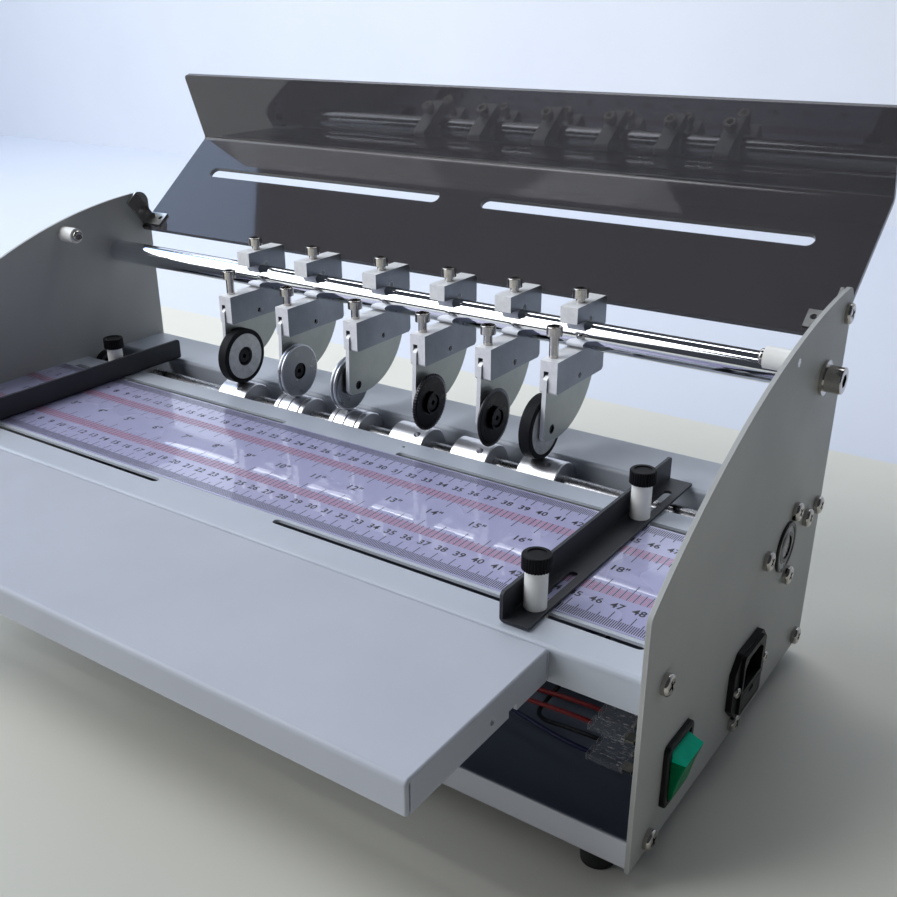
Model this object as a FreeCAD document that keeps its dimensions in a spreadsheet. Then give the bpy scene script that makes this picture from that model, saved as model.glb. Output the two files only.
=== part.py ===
"""Desktop paper creasing machine: a sheet-metal frame with a hinged acrylic cover.

Millimetres, +Z up, +X to the operator's right, +Y away from the operator.
The origin is under the middle of the machine, on the surface that it stands on.
Six tool holders clamp on a tie bar and press their wheels on rollers of one driven shaft.
"""
import FreeCAD, Part
import math
import os
import re

from FreeCAD import Placement, Rotation, Vector

# ---------------------------------------------------------------- driving dimensions
SIZES = {
    # side plates
    "inner_width": 500.0, "plate": 2.0, "plate_foot": 9.0, "plate_front": -94.5, "plate_back": 121.5,
    "plate_nose": 130.0, "plate_crown_y": -2.0, "plate_crown_z": 182.5, "plate_tail_z": 206.8,
    "nose_radius": 5.0, "tail_radius": 8.0,
    # folded sheets: thickness, inner bend radius, side lips
    "gauge": 1.5, "bend": 1.0, "side_lip": 15.0,
    # deck
    "deck_top": 100.0, "deck_front": -89.5, "deck_back": 51.0, "deck_lip": 16.4, "deck_tail": 12.0,
    "slot_front": -69.2, "slot_rear": 32.0, "slot_width": 4.5, "slot_inner": 42.0, "slot_outer": 240.0,
    "pin_hole_x": 39.9, "pin_hole_y": 41.6, "pin_hole": 1.0,
    "scale_left": -249.0, "scale_right": 237.3, "scale_front": -64.5, "scale_back": 29.0, "scale_film": 0.3,
    "rear_front": 80.5, "rear_lip": 18.0,
    # feed tray
    "tray_half": 209.0, "tray_front": -185.77, "tray_lip": 15.0, "tray_hole_y": -132.0, "tray_hole_z": 90.4,
    "tray_notch_y": -117.4, "tray_notch": 6.0,
    # base pan and feet
    "pan_front": -94.0, "pan_back": 120.0, "pan_lip": 15.0, "foot_radius": 8.5, "foot_x": 233.5,
    "foot_front": -84.0, "foot_back": 108.0,
    # tie bar, its cap screws, and the cover's stops
    "bar_y": 89.0, "bar_z": 169.0, "bar_radius": 7.5, "bar_tap": 4.0, "bar_tap_depth": 20.0,
    "washer_radius": 8.5, "washer": 1.6, "cap_radius": 6.5, "cap_height": 8.0, "cap_hex": 6.0,
    "stop_y": 45.6, "stop_z": 188.2, "stop_radius": 5.0, "stop_length": 13.0,
    # cover: hinge edge, panel and flap
    "cover_y": 112.5, "cover_z": 182.0, "cover_angle": 37.8, "cover_fold": 71.0, "cover_panel": 89.6,
    "cover_flap": 47.9, "cover_thick": 3.0, "cover_bend": 3.0, "cover_width": 498.6, "cover_slot_at": 57.5,
    "cover_slot_width": 8.5, "cover_slot_inner": 16.0, "cover_slot_outer": 220.0,
    "pivot_along": 8.9, "pivot_above": 8.25, "pivot_radius": 2.5,
    # drive shaft, rollers, bearings and gears
    "shaft_y": 65.5, "shaft_z": 89.2, "shaft_radius": 6.5, "journal_radius": 6.0, "journal_from": 240.0,
    "shaft_end": 252.8, "roller_radius": 14.0, "roller_width": 24.0,
    "bearing_flange": 13.0, "bearing_body": 11.5, "bearing_inner": 245.0,
    "module": 1.0, "gear_teeth": 20.0, "pinion_teeth": 24.0, "gear_left": -236.0, "gear_face": 8.0,
    "gear_gap": 0.15, "motor_radius": 25.0, "motor_offset": 11.0, "motor_length": 50.0, "motor_face": -212.0,
    # paper guides
    "guide_right": 182.7, "guide_left": -188.0, "guide_front": -85.5, "guide_back": 82.5, "guide_height": 14.0,
    "guide_flange": 13.6, "guide_lift": 0.6, "guide_travel": 33.0, "stud_inset": 7.6, "post_radius": 5.0,
    "post_height": 18.3, "knob_radius": 6.5, "knob_height": 6.8, "stud_radius": 2.0,
    # tool holders
    "block_width": 10.2, "arm_thick": 2.5, "arm_shift": -1.5, "wheel_radius": 16.7, "wheel_z": 120.2,
    "feed_wheel_radius": 17.9, "feed_wheel_z": 121.4,
    "arm_pivot_y": 84.7, "arm_pivot_z": 147.5, "arm_pin": 1.75, "arm_tap": 2.0, "clamp_y": 90.7, "press_y": 66.4,
    "clamp_head_top": 193.2, "screw_head": 4.25, "screw_head_height": 5.0, "screw_radius": 2.5,
    "station_one": -113.7, "station_two": -64.9, "station_three": -11.1, "station_four": 37.8,
    "station_five": 81.4, "station_six": 122.0,
    # switch and power inlet on the right plate
    "switch_y": -55.5, "switch_z": 40.0, "switch_width": 26.0, "switch_height": 31.5, "switch_tilt": 14.0,
    "inlet_y": 26.1, "inlet_z": 39.0, "inlet_width": 42.4, "inlet_height": 36.0, "inlet_flange": 3.0,
    "inlet_screw": 18.3, "socket_z": 44.2,
    "lead_radius": 1.1,
}

STATIONS = ["one", "two", "three", "four", "five", "six"]
TOOLS = ["left_feed", "left_crease", "right_crease", "perforating", "slitting", "right_feed"]
ROLLER_CENTRES = [-110.5, -61.0, -15.7, 30.9, 74.6, 118.6]
WHEEL_SIDES = [1, 1, -1, 1, 1, -1]
PRESS_HEAD_TOPS = [176.4, 172.3, 172.3, 172.3, 172.3, 178.2]

# machine screws through each side plate, as (y, z): deck, rear deck, pan, bearing
SIDE_SCREWS = {
    "deck": [(-75.7, 92.0), (38.0, 94.0)],
    "rear": [(95.5, 93.0), (113.0, 93.0)],
    "pan": [(-78.0, 15.5), (17.0, 15.5), (109.0, 15.5)],
    "bearing": [(75.0, 104.6), (73.7, 70.0)],
}
TRAY_SCREWS_X = [-150.0, 0.0, 150.0]
SIDE_SCREW_RADIUS = 2.5
SMALL_SCREW_RADIUS = 1.5
HOLE_PLAY = 0.1

doc = FreeCAD.newDocument("creasing_machine")
sheet = doc.addObject("Spreadsheet::Sheet", "Sizes")
for row, (alias, number) in enumerate(SIZES.items(), start=1):
    sheet.set("A%d" % row, alias)
    sheet.set("B%d" % row, "%g" % number)
    sheet.setAlias("B%d" % row, alias)
doc.recompute()

WORD = re.compile(r"[a-z][a-z_]+")
PARTS = []


def size(alias):
    """The value that the sheet holds for an alias."""
    return float(sheet.get(alias))


def value(text):
    """The number that a text of aliases and arithmetic stands for."""
    if not isinstance(text, str):
        return float(text)
    return FreeCAD.Units.Quantity(WORD.sub(lambda word: "(%r)" % size(word.group()), text)).Value


def bind(thing, prop, text):
    """Bind a property to the sheet's cells through a text of aliases and arithmetic."""
    if isinstance(text, str):
        text = WORD.sub(lambda word: "Sizes." + word.group(), text)
    thing.setExpression(prop, str(text))


def node(thing, label):
    """Name a finished sub-part and list it for export."""
    thing.Label = label
    PARTS.append(thing)
    return thing


# ---------------------------------------------------------------- bound primitives and booleans
def block(x, y, z):
    """A box from three (low, high) pairs of texts."""
    thing = doc.addObject("Part::Box", "Block")
    for prop, place, (low, high) in (("Length", "x", x), ("Width", "y", y), ("Height", "z", z)):
        bind(thing, prop, "(%s) - (%s)" % (high, low))
        bind(thing, "Placement.Base." + place, low)
    return thing


TURNS = {"x": Rotation(Vector(0, 1, 0), 90), "y": Rotation(Vector(1, 0, 0), -90), "z": Rotation()}


def rod(axis, radius, start, end, across, up):
    """A cylinder along an axis; across and up place it on the two other axes, in X, Y, Z order."""
    thing = doc.addObject("Part::Cylinder", "Rod")
    thing.Placement = Placement(Vector(), TURNS[axis])
    bind(thing, "Radius", radius)
    bind(thing, "Height", "(%s) - (%s)" % (end, start))
    others = [name for name in "xyz" if name != axis]
    for place, text in ((axis, start), (others[0], across), (others[1], up)):
        bind(thing, "Placement.Base." + place, text)
    return thing


def cone(low_radius, high_radius, z, x, y):
    thing = doc.addObject("Part::Cone", "Cone")
    bind(thing, "Radius1", low_radius)
    bind(thing, "Radius2", high_radius)
    bind(thing, "Height", "(%s) - (%s)" % (z[1], z[0]))
    for place, text in (("x", x), ("y", y), ("z", z[0])):
        bind(thing, "Placement.Base." + place, text)
    return thing


def join(*things):
    thing = doc.addObject("Part::MultiFuse", "Join")
    thing.Shapes = list(things)
    return thing


def cut(base, *tools):
    thing = doc.addObject("Part::Cut", "Cut")
    thing.Base = base
    thing.Tool = tools[0] if len(tools) == 1 else join(*tools)
    return thing


def group(*things):
    """Separate solids that share one node."""
    thing = doc.addObject("Part::Compound", "Group")
    thing.Links = list(things)
    return thing


def made(shape, name="Made"):
    """A shape made with Part's own functions from sizes read from the sheet."""
    thing = doc.addObject("Part::Feature", name)
    thing.Shape = shape
    thing.Placement = shape.Placement
    return thing


def rounded(base, radius, wanted):
    """Round the edges of a base whose middle point passes the test."""
    doc.recompute()
    picked = []
    for number, edge in enumerate(base.Shape.Edges, start=1):
        middle = edge.valueAt((edge.FirstParameter + edge.LastParameter) / 2)
        if wanted(middle, edge):
            picked.append((number, radius, radius))
    thing = doc.addObject("Part::Fillet", "Rounded")
    thing.Base = base
    thing.Edges = picked
    return thing


# ---------------------------------------------------------------- sketched bodies
PLANES = {"YZ": "YZ_Plane", "XY": "XY_Plane"}


def padded(plane, curves, start, length):
    """A body padded from closed curves on an origin plane, from start over length."""
    body = doc.addObject("PartDesign::Body", "Body")
    sketch = body.newObject("Sketcher::SketchObject", "Outline")
    origin = next(part for part in body.Origin.OriginFeatures if part.Role == PLANES[plane])
    sketch.AttachmentSupport = [(origin, "")]
    sketch.MapMode = "FlatFace"
    bind(sketch, "AttachmentOffset.Base.z", start)
    sketch.addGeometry(curves, False)
    pad = body.newObject("PartDesign::Pad", "Pad")
    pad.Profile = sketch
    bind(pad, "Length", length)
    body.Tip = pad
    return body


def outline(points):
    """Closed curves through flat points; a point given as ("arc", middle, end) arrives by an arc."""
    curves = []
    start = points[0]
    for step in list(points[1:]) + [points[0]]:
        if step[0] == "arc":
            middle, end = step[1], step[2]
            curves.append(Part.Arc(Vector(*start, 0), Vector(*middle, 0), Vector(*end, 0)))
            start = end
        else:
            curves.append(Part.LineSegment(Vector(*start, 0), Vector(*step, 0)))
            start = step
    return curves


def shifted(path, distance):
    """A path moved sideways to its left, with mitred corners."""
    moved = []
    for index, here in enumerate(path):
        normals = []
        for first, second in ((index - 1, index), (index, index + 1)):
            if first >= 0 and second < len(path):
                run = path[second] - path[first]
                normals.append(Vector(-run.y, run.x, 0) / run.Length)
        bisector = sum(normals[1:], normals[0]) / len(normals)
        moved.append(here + bisector * (distance / (bisector.Length ** 2)))
    return moved


def with_arcs(path, radii):
    """The path's straight runs, with an arc of the given radius at each inner corner."""
    curves = []
    here = path[0]
    for before, corner, after, radius in zip(path, path[1:], path[2:], radii):
        back = (before - corner).normalize()
        ahead = (after - corner).normalize()
        half = back.getAngle(ahead) / 2
        reach = radius / math.tan(half)
        middle = corner + (back + ahead).normalize() * (radius / math.sin(half) - radius)
        curves.append(Part.LineSegment(here, corner + back * reach))
        curves.append(Part.Arc(corner + back * reach, middle, corner + ahead * reach))
        here = corner + ahead * reach
    curves.append(Part.LineSegment(here, path[-1]))
    return curves


def folded(points, thickness, bend):
    """The outline of a folded sheet: points on one face, the thickness to the left of the path."""
    face = [Vector(u, v, 0) for u, v in points]
    other = shifted(face, thickness)
    near, far = [], []
    for before, corner, after in zip(face, face[1:], face[2:]):
        left = (corner - before).cross(after - corner).z > 0
        near.append(bend + thickness if left else bend)
        far.append(bend if left else bend + thickness)
    curves = with_arcs(face, near)
    curves.append(Part.LineSegment(face[-1], other[-1]))
    curves += with_arcs(other[::-1], far[::-1])
    curves.append(Part.LineSegment(other[0], face[0]))
    return curves


def side_holes(names, radius=SIDE_SCREW_RADIUS + HOLE_PLAY):
    """Holes along X, right across the machine, for the side screws of the named sheets."""
    return [rod("x", radius, "-inner_width", "inner_width", y, z) for name in names for y, z in SIDE_SCREWS[name]]


HALF = "inner_width / 2"


# ---------------------------------------------------------------- frame
def side_plate(side):
    nose = (size("plate_front"), size("plate_nose"))
    crown = (size("plate_crown_y"), size("plate_crown_z"))
    tail = (size("plate_back"), size("plate_tail_z"))
    foot = size("plate_foot")
    profile = outline([(nose[0], foot), nose, ("arc", crown, tail), (tail[0], foot)])
    start = HALF if side > 0 else "-inner_width / 2 - plate"
    plate = padded("YZ", profile, start, "plate")
    plate = rounded(plate, size("nose_radius"),
                    lambda p, e: abs(p.y - nose[0]) < 0.1 and abs(p.z - nose[1]) < 0.1 and e.Length < 3)
    plate = rounded(plate, size("tail_radius"),
                    lambda p, e: abs(p.y - tail[0]) < 0.1 and abs(p.z - tail[1]) < 0.1 and e.Length < 3)
    across = ("-inner_width", "inner_width")
    tools = side_holes(SIDE_SCREWS)
    tools.append(rod("x", "bearing_body + 0.05", *across, "shaft_y", "shaft_z"))
    tools.append(rod("x", "bar_tap + 0.2", *across, "bar_y", "bar_z"))
    tools.append(rod("x", "stud_radius + 0.1", *across, "stop_y", "stop_z"))
    pivot = cover_point(size("pivot_along"), size("pivot_above"))
    tools.append(rod("x", "pivot_radius + 0.05", *across, pivot.y, pivot.z))
    if side > 0:
        tools.append(block(across, ("switch_y - 11.2", "switch_y + 11.2"), ("switch_z - 14", "switch_z + 14")))
        tools.append(block(across, ("inlet_y - 13.8", "inlet_y + 13.8"), ("inlet_z - 14.7", "inlet_z + 14.7")))
        tools += [rod("x", 1.7, *across, "inlet_y + %d * inlet_screw" % turn, "inlet_z") for turn in (-1, 1)]
    node(cut(plate, *tools), "right_side_plate" if side > 0 else "left_side_plate")


def base_pan():
    low = size("plate_foot")
    front, back, high = size("pan_front"), size("pan_back"), low + size("pan_lip")
    profile = folded([(front, high), (front, low), (back, low), (back, high)], size("gauge"), size("bend"))
    pan = padded("YZ", profile, "-inner_width / 2", "inner_width")
    lips = [block((x0, x1), ("pan_front + 4", "pan_back - 4"), ("plate_foot", "plate_foot + pan_lip"))
            for x0, x1 in (("-inner_width / 2", "-inner_width / 2 + gauge"), ("inner_width / 2 - gauge", HALF))]
    holes = [rod("z", SMALL_SCREW_RADIUS + HOLE_PLAY, 0, 20, x, y) for x in ("-foot_x", "foot_x")
             for y in ("foot_front", "foot_back")]
    node(cut(join(pan, *lips), *side_holes(["pan"]), *holes), "base_pan")


def slot(x, y, width, z):
    """A round-ended slot along X, as a tool: x and z are (low, high) pairs."""
    half = "(%s) / 2" % width
    middle = block(("%s + %s" % (x[0], half), "%s - %s" % (x[1], half)),
                   ("%s - %s" % (y, half), "%s + %s" % (y, half)), z)
    ends = [rod("z", half, z[0], z[1], "%s + %s" % (x[0], half), y),
            rod("z", half, z[0], z[1], "%s - %s" % (x[1], half), y)]
    return join(middle, *ends)


def deck():
    top, front, back = size("deck_top"), size("deck_front"), size("deck_back")
    path = [(back, top - size("deck_tail")), (back, top), (front, top), (front, top - size("deck_lip"))]
    sheet_body = padded("YZ", folded(path, size("gauge"), size("bend")), "-inner_width / 2", "inner_width")
    lips = [block((x0, x1), ("deck_front + 4", "deck_back - 4"), ("deck_top - side_lip", "deck_top - 0.5"))
            for x0, x1 in (("-inner_width / 2", "-inner_width / 2 + gauge"), ("inner_width / 2 - gauge", HALF))]
    through = ("deck_top - 5", "deck_top + 5")
    tools = side_holes(["deck"])
    for y in ("slot_front", "slot_rear"):
        tools.append(slot(("slot_inner", "slot_outer"), y, "slot_width", through))
        tools.append(slot(("-slot_outer", "-slot_inner"), y, "slot_width", through))
    tools.append(rod("z", "pin_hole", *through, "pin_hole_x", "pin_hole_y"))
    tools += [rod("y", SMALL_SCREW_RADIUS + HOLE_PLAY, "deck_front - 3", "deck_front + 3", x, "deck_top - 9")
              for x in TRAY_SCREWS_X]
    node(cut(join(sheet_body, *lips), *tools), "deck")
    scale = block(("scale_left", "scale_right"), ("scale_front", "scale_back"), ("deck_top", "deck_top + scale_film"))
    node(scale, "ruler_scale")


def rear_deck():
    top, front, back = size("deck_top"), size("rear_front"), size("plate_back")
    path = [(back, size("plate_foot") + 1), (back, top), (front, top), (front, top - size("rear_lip"))]
    body = padded("YZ", folded(path, size("gauge"), size("bend")), "-inner_width / 2", "inner_width")
    lips = [block((x0, x1), ("rear_front + 5", "plate_back - 4"), ("deck_top - side_lip", "deck_top - 0.5"))
            for x0, x1 in (("-inner_width / 2", "-inner_width / 2 + gauge"), ("inner_width / 2 - gauge", HALF))]
    node(cut(join(body, *lips), *side_holes(["rear"])), "rear_deck")


def feed_tray():
    top, front, back, lip = size("deck_top"), size("tray_front"), size("deck_front"), size("tray_lip")
    path = [(back, top - lip), (back, top), (front, top), (front, top - lip)]
    body = padded("YZ", folded(path, size("gauge"), size("bend")), "-tray_half", "2 * tray_half")
    lips = [block((x0, x1), ("tray_front + 2.5", "deck_front - 2.5"), ("deck_top - tray_lip", "deck_top - 0.5"))
            for x0, x1 in (("-tray_half", "-tray_half + gauge"), ("tray_half - gauge", "tray_half"))]
    half = size("tray_half")
    outer_bend = size("bend") + size("gauge")

    def on_rim(p, edge):
        """True on the outer rim of a side: the long top edge and the bends and lips at its two ends."""
        if abs(abs(p.x) - half) > 0.01:
            return False
        depth = min(p.y - front, back - p.y, top - p.z)
        return depth < 0.01 or abs(edge.Length - outer_bend * math.pi / 2) < 0.01

    tray = rounded(join(body, *lips), 1.2, on_rim)
    tools = [rod("x", 1.6, "-inner_width", "inner_width", "tray_hole_y", "tray_hole_z"),
             block(("-inner_width", "inner_width"), ("tray_notch_y - tray_notch / 2", "tray_notch_y + tray_notch / 2"),
                   ("deck_top - tray_lip - 1", "deck_top - tray_lip + 3"))]
    tools += [rod("y", SMALL_SCREW_RADIUS + HOLE_PLAY, "deck_front - 3", "deck_front + 3", x, "deck_top - 9")
              for x in TRAY_SCREWS_X]
    node(cut(tray, *tools), "feed_tray")


def rubber_feet():
    feet = []
    for x in ("-foot_x", "foot_x"):
        for y in ("foot_front", "foot_back"):
            cushion = cone("foot_radius - 1", "foot_radius", (0, "plate_foot"), x, y)
            feet.append(cut(cushion, rod("z", 1.5, 2, "plate_foot + 1", x, y)))
    node(group(*feet), "rubber_feet")


def pan_head(radius=3.0, height=2.0, shank=SMALL_SCREW_RADIUS, length=5.0):
    """A pan-head screw along +X: the head's outer face up to height, its shank below zero."""
    head = Part.makeCylinder(radius, height, Vector(), Vector(1, 0, 0))
    rim = [edge for edge in head.Edges if edge.Length > 2 * math.pi * radius - 0.1 and edge.CenterOfMass.x > 0.1]
    head = head.makeFillet(height * 0.45, rim)
    for turn in (0, 90):
        arm = Part.makeBox(height, radius * 1.1, radius * 0.26, Vector(height * 0.45, -radius * 0.55, -radius * 0.13))
        arm.rotate(Vector(), Vector(1, 0, 0), turn + 20)
        head = head.cut(arm)
    return head.fuse(Part.makeCylinder(shank, length, Vector(-length, 0, 0), Vector(1, 0, 0))).removeSplitter()


def put(shape, direction, place):
    """A copy of a shape made along +X, turned to a direction and moved to a place."""
    copy = shape.copy()
    copy.Placement = Placement(Vector(*place), Rotation(Vector(1, 0, 0), Vector(*direction)))
    return copy


def frame_screws():
    outer = size("inner_width") / 2 + size("plate")
    side = pan_head(radius=4.8, height=3.2, shank=SIDE_SCREW_RADIUS, length=size("plate") + size("gauge"))
    screws = []
    for places in SIDE_SCREWS.values():
        for y, z in places:
            screws.append(put(side, (1, 0, 0), (outer, y, z)))
            screws.append(put(side, (-1, 0, 0), (-outer, y, z)))
    small = pan_head(radius=2.6, height=1.8, length=size("inlet_flange") + size("plate"))
    stop = pan_head(radius=3.6, height=2.4, shank=size("stud_radius"), length=size("stop_length") + size("plate"))
    for turn in (-1, 1):
        y = size("inlet_y") + turn * size("inlet_screw")
        screws.append(put(small, (1, 0, 0), (outer + size("inlet_flange"), y, size("inlet_z"))))
        inner_end = turn * (size("inner_width") / 2 - size("stop_length"))
        screws.append(put(stop, (-turn, 0, 0), (inner_end, size("stop_y"), size("stop_z"))))
    foot = pan_head(length=7.0, radius=4.0, height=2.4)
    floor = size("plate_foot") + size("gauge")
    for x in (-size("foot_x"), size("foot_x")):
        for y in (size("foot_front"), size("foot_back")):
            screws.append(put(foot, (0, 0, 1), (x, y, floor)))
    tray = pan_head(length=2 * size("gauge") + 1)
    for x in TRAY_SCREWS_X:
        screws.append(put(tray, (0, -1, 0), (x, size("deck_front") - size("gauge"), size("deck_top") - 9)))
    motor = pan_head(length=6.0)
    for y, z in motor_screws():
        screws.append(put(motor, (-1, 0, 0), (size("motor_face") - 2, y, z)))
    node(made(Part.makeCompound(screws)), "frame_screws")


# ---------------------------------------------------------------- tie bar and stops
def hexagon(flats, depth, start):
    """A hexagonal prism along +X."""
    points = [Vector(start, flats / math.sqrt(3) * math.cos(math.radians(60 * k)),
                     flats / math.sqrt(3) * math.sin(math.radians(60 * k))) for k in range(7)]
    return Part.Face(Part.makePolygon(points)).extrude(Vector(depth, 0, 0))


def cap_screw(radius, height, flats, shank, length, socket):
    """A socket cap screw along +X, its head above zero and its shank below."""
    head = Part.makeCylinder(radius, height, Vector(), Vector(1, 0, 0))
    rim = [edge for edge in head.Edges if edge.Length > 2 * math.pi * radius - 0.1 and edge.CenterOfMass.x > 0.1]
    head = head.makeFillet(0.5, rim)
    head = head.cut(hexagon(flats, socket + 1, height - socket))
    return head.fuse(Part.makeCylinder(shank, length, Vector(-length, 0, 0), Vector(1, 0, 0)))


def tie_bar():
    bar = rod("x", "bar_radius", "-inner_width / 2", HALF, "bar_y", "bar_z")
    taps = [rod("x", "bar_tap", "-inner_width / 2", "-inner_width / 2 + bar_tap_depth", "bar_y", "bar_z"),
            rod("x", "bar_tap", "inner_width / 2 - bar_tap_depth", HALF, "bar_y", "bar_z")]
    node(cut(bar, *taps), "tie_bar")
    outer = size("inner_width") / 2 + size("plate")
    screw = cap_screw(size("cap_radius"), size("cap_height"), size("cap_hex"), size("bar_tap") - 0.05, 18.0, 4.0)
    washer = Part.makeCylinder(size("washer_radius"), size("washer"), Vector(), Vector(1, 0, 0))
    washer = washer.cut(Part.makeCylinder(size("bar_tap") + 0.2, size("washer"), Vector(), Vector(1, 0, 0)))
    pieces = []
    for side in (-1, 1):
        place = (side * outer, size("bar_y"), size("bar_z"))
        pieces.append(put(washer, (side, 0, 0), place))
        pieces.append(put(screw, (side, 0, 0), (side * (outer + size("washer")), place[1], place[2])))
    node(made(Part.makeCompound(pieces)), "tie_bar_screws")


def cover_stops():
    """A nylon tube on each side plate, which the shut cover rests on."""
    tubes = []
    for low, high in (("-inner_width / 2", "stop_length - inner_width / 2"), ("inner_width / 2 - stop_length", HALF)):
        barrel = rod("x", "stop_radius", low, high, "stop_y", "stop_z")
        tubes.append(cut(barrel, rod("x", "stud_radius + 0.05", low, high, "stop_y", "stop_z")))
    node(group(*tubes), "cover_stops")


# ---------------------------------------------------------------- cover
def cover_point(along, above, x=0.0):
    """A point of the open cover: along its panel from the hinge edge, and above its inner face."""
    turn = Rotation(Vector(1, 0, 0), size("cover_angle"))
    return Vector(0, size("cover_y"), size("cover_z")) + turn.multVec(Vector(x, along, above))


def place_on_cover(thing):
    bind(thing, "Placement.Base.y", "cover_y")
    bind(thing, "Placement.Base.z", "cover_z")
    thing.Placement.Rotation = Rotation(Vector(1, 0, 0), size("cover_angle"))


def cover():
    fold = math.radians(size("cover_fold"))
    panel, flap, thick = size("cover_panel"), size("cover_flap"), size("cover_thick")
    tip = (panel + flap * math.cos(fold), flap * math.sin(fold))
    profile = folded([tip, (panel, 0.0), (0.0, 0.0)], thick, size("cover_bend"))
    body = padded("YZ", profile, "-cover_width / 2", "cover_width")
    through = ("-cover_thick - 2", 2)
    tools = [slot(("cover_slot_inner", "cover_slot_outer"), "cover_slot_at", "cover_slot_width", through),
             slot(("-cover_slot_outer", "-cover_slot_inner"), "cover_slot_at", "cover_slot_width", through)]
    tools += [rod("z", 1.65, *through, x, 9.0) for x in (-243.6, 243.6)]
    half = size("cover_width") / 2
    sheet_part = rounded(cut(body, *tools), 3.0,
                         lambda p, e: abs(abs(p.x) - half) < 0.01 and p.z > tip[1] - 2 and abs(e.Length - thick) < 0.1)
    place_on_cover(sheet_part)
    node(sheet_part, "cover_panel")

    brackets, rivets = [], []
    for side in (-1, 1):
        leaf_ends = sorted((side * 231.8, side * 249.8))
        ear_ends = sorted((side * 248.3, side * 249.8))
        leaf = block(leaf_ends, (2.6, 13.4), (0, 1.5))
        ear = block(ear_ends, (2.6, 13.4), (0, 21.4))
        hole = rod("x", "pivot_radius + 0.06", ear_ends[0] - 1, ear_ends[1] + 1, "pivot_along", "pivot_above")
        spare = rod("z", 1.7, -1, 3, side * 235.4, 9.0)
        seat = rod("z", 1.65, -1, 3, side * 243.6, 9.0)
        brackets.append(cut(join(leaf, ear), hole, spare, seat))
        head = rod("z", 2.6, 1.5, 2.3, side * 243.6, 9.0)
        shank = rod("z", 1.6, "-cover_thick", 1.5, side * 243.6, 9.0)
        tail = rod("z", 2.6, "-cover_thick - 0.9", "-cover_thick", side * 243.6, 9.0)
        rivets.append(join(head, shank, tail))
    for pieces, label in ((brackets, "cover_hinges"), (rivets, "cover_rivets")):
        thing = group(*pieces)
        place_on_cover(thing)
        node(thing, label)

    pivot = cover_point(size("pivot_along"), size("pivot_above"))
    screws = []
    outer = size("inner_width") / 2 + size("plate")
    screw = pan_head(radius=5.2, height=2.8, shank=size("pivot_radius"), length=6.2)
    for side in (-1, 1):
        screws.append(put(screw, (side, 0, 0), (side * outer, pivot.y, pivot.z)))
    node(made(Part.makeCompound(screws)), "cover_pivot_screws")


# ---------------------------------------------------------------- drive
def turned(points, x=0.0):
    """A solid of revolution about X through the shaft's axis, from (x, radius) points."""
    profile = [Vector(x + along, radius, 0) for along, radius in points]
    face = Part.Face(Part.makePolygon(profile + profile[:1]))
    solid = face.revolve(Vector(), Vector(1, 0, 0), 360)
    solid.translate(Vector(0, size("shaft_y"), size("shaft_z")))
    return solid


def drive_shaft():
    middle = rod("x", "shaft_radius", "-journal_from", "journal_from", "shaft_y", "shaft_z")
    ends = rod("x", "journal_radius", "-shaft_end", "shaft_end", "shaft_y", "shaft_z")
    node(join(middle, ends), "drive_shaft")


def drive_rollers():
    """Six turned rollers; the two under the creasing wheels carry shallow matrix grooves."""
    outer, bore, half = size("roller_radius"), size("shaft_radius"), size("roller_width") / 2
    chamfer, depth, groove = 0.5, 0.7, 0.6
    rollers = []
    for index, x in enumerate(ROLLER_CENTRES):
        points = [(-half, bore), (-half, outer - chamfer), (-half + chamfer, outer)]
        if index in (1, 2):
            for centre in (-8.2, 0.0, 8.2):
                points += [(centre - groove, outer), (centre - groove, outer - depth),
                           (centre + groove, outer - depth), (centre + groove, outer)]
        points += [(half - chamfer, outer), (half, outer - chamfer), (half, bore)]
        roller = turned(points, x)
        tilt = math.radians(120 + (0 if index in (3, 4) else 70 * index))
        away = Vector(0, math.cos(tilt), math.sin(tilt))
        axis = Vector(x + (6.0 if index in (3, 4) else 4.0), size("shaft_y"), size("shaft_z"))
        rollers.append(roller.cut(Part.makeCylinder(2.0, 6.0, axis + away * (outer - 4.5), away)))
    node(made(Part.makeCompound(rollers)), "drive_rollers")


def shaft_bearings():
    inner = size("bearing_inner") - size("inner_width") / 2 - size("plate")
    flange, body, bore = size("bearing_flange"), size("bearing_body"), size("journal_radius") + 0.05
    points = [(inner, bore), (inner, body), (0, body), (0, flange), (1.0, flange), (1.4, flange - 0.4),
              (1.4, 11.0), (0.9, 10.6), (0.9, 8.6), (1.4, 8.2), (1.4, bore)]
    bearings = []
    edge = size("inner_width") / 2 + size("plate")
    for side in (-1, 1):
        bearings.append(turned([(side * (edge + along), radius) for along, radius in points]))
    node(made(Part.makeCompound(bearings)), "shaft_bearings")


def gear_blank(teeth, thickness, first_tooth):
    """A spur gear along +X about the origin, one tooth centred at the angle first_tooth in the YZ plane."""
    module = size("module")
    pitch = teeth * module / 2
    root, tip = pitch - 1.25 * module, pitch + 0.95 * module
    step = 360 / teeth
    points = []
    for tooth in range(int(teeth)):
        centre = first_tooth + tooth * step
        for radius, share in ((root, -0.36), (pitch, -0.235), (tip, -0.11), (tip, 0.11), (pitch, 0.235), (root, 0.36)):
            angle = math.radians(centre + share * step)
            points.append(Vector(0, radius * math.cos(angle), radius * math.sin(angle)))
    return Part.Face(Part.makePolygon(points + points[:1])).extrude(Vector(thickness, 0, 0))


def gear_distance():
    return (size("gear_teeth") + size("pinion_teeth")) * size("module") / 2 + size("gear_gap")


def drive_gear():
    left, face, bore = size("gear_left"), size("gear_face"), size("shaft_radius")
    teeth = gear_blank(size("gear_teeth"), face, -90)
    bored = teeth.cut(Part.makeCylinder(bore, face, Vector(), Vector(1, 0, 0)))
    bored.translate(Vector(left, size("shaft_y"), size("shaft_z")))
    node(made(bored), "driven_gear")


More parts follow.
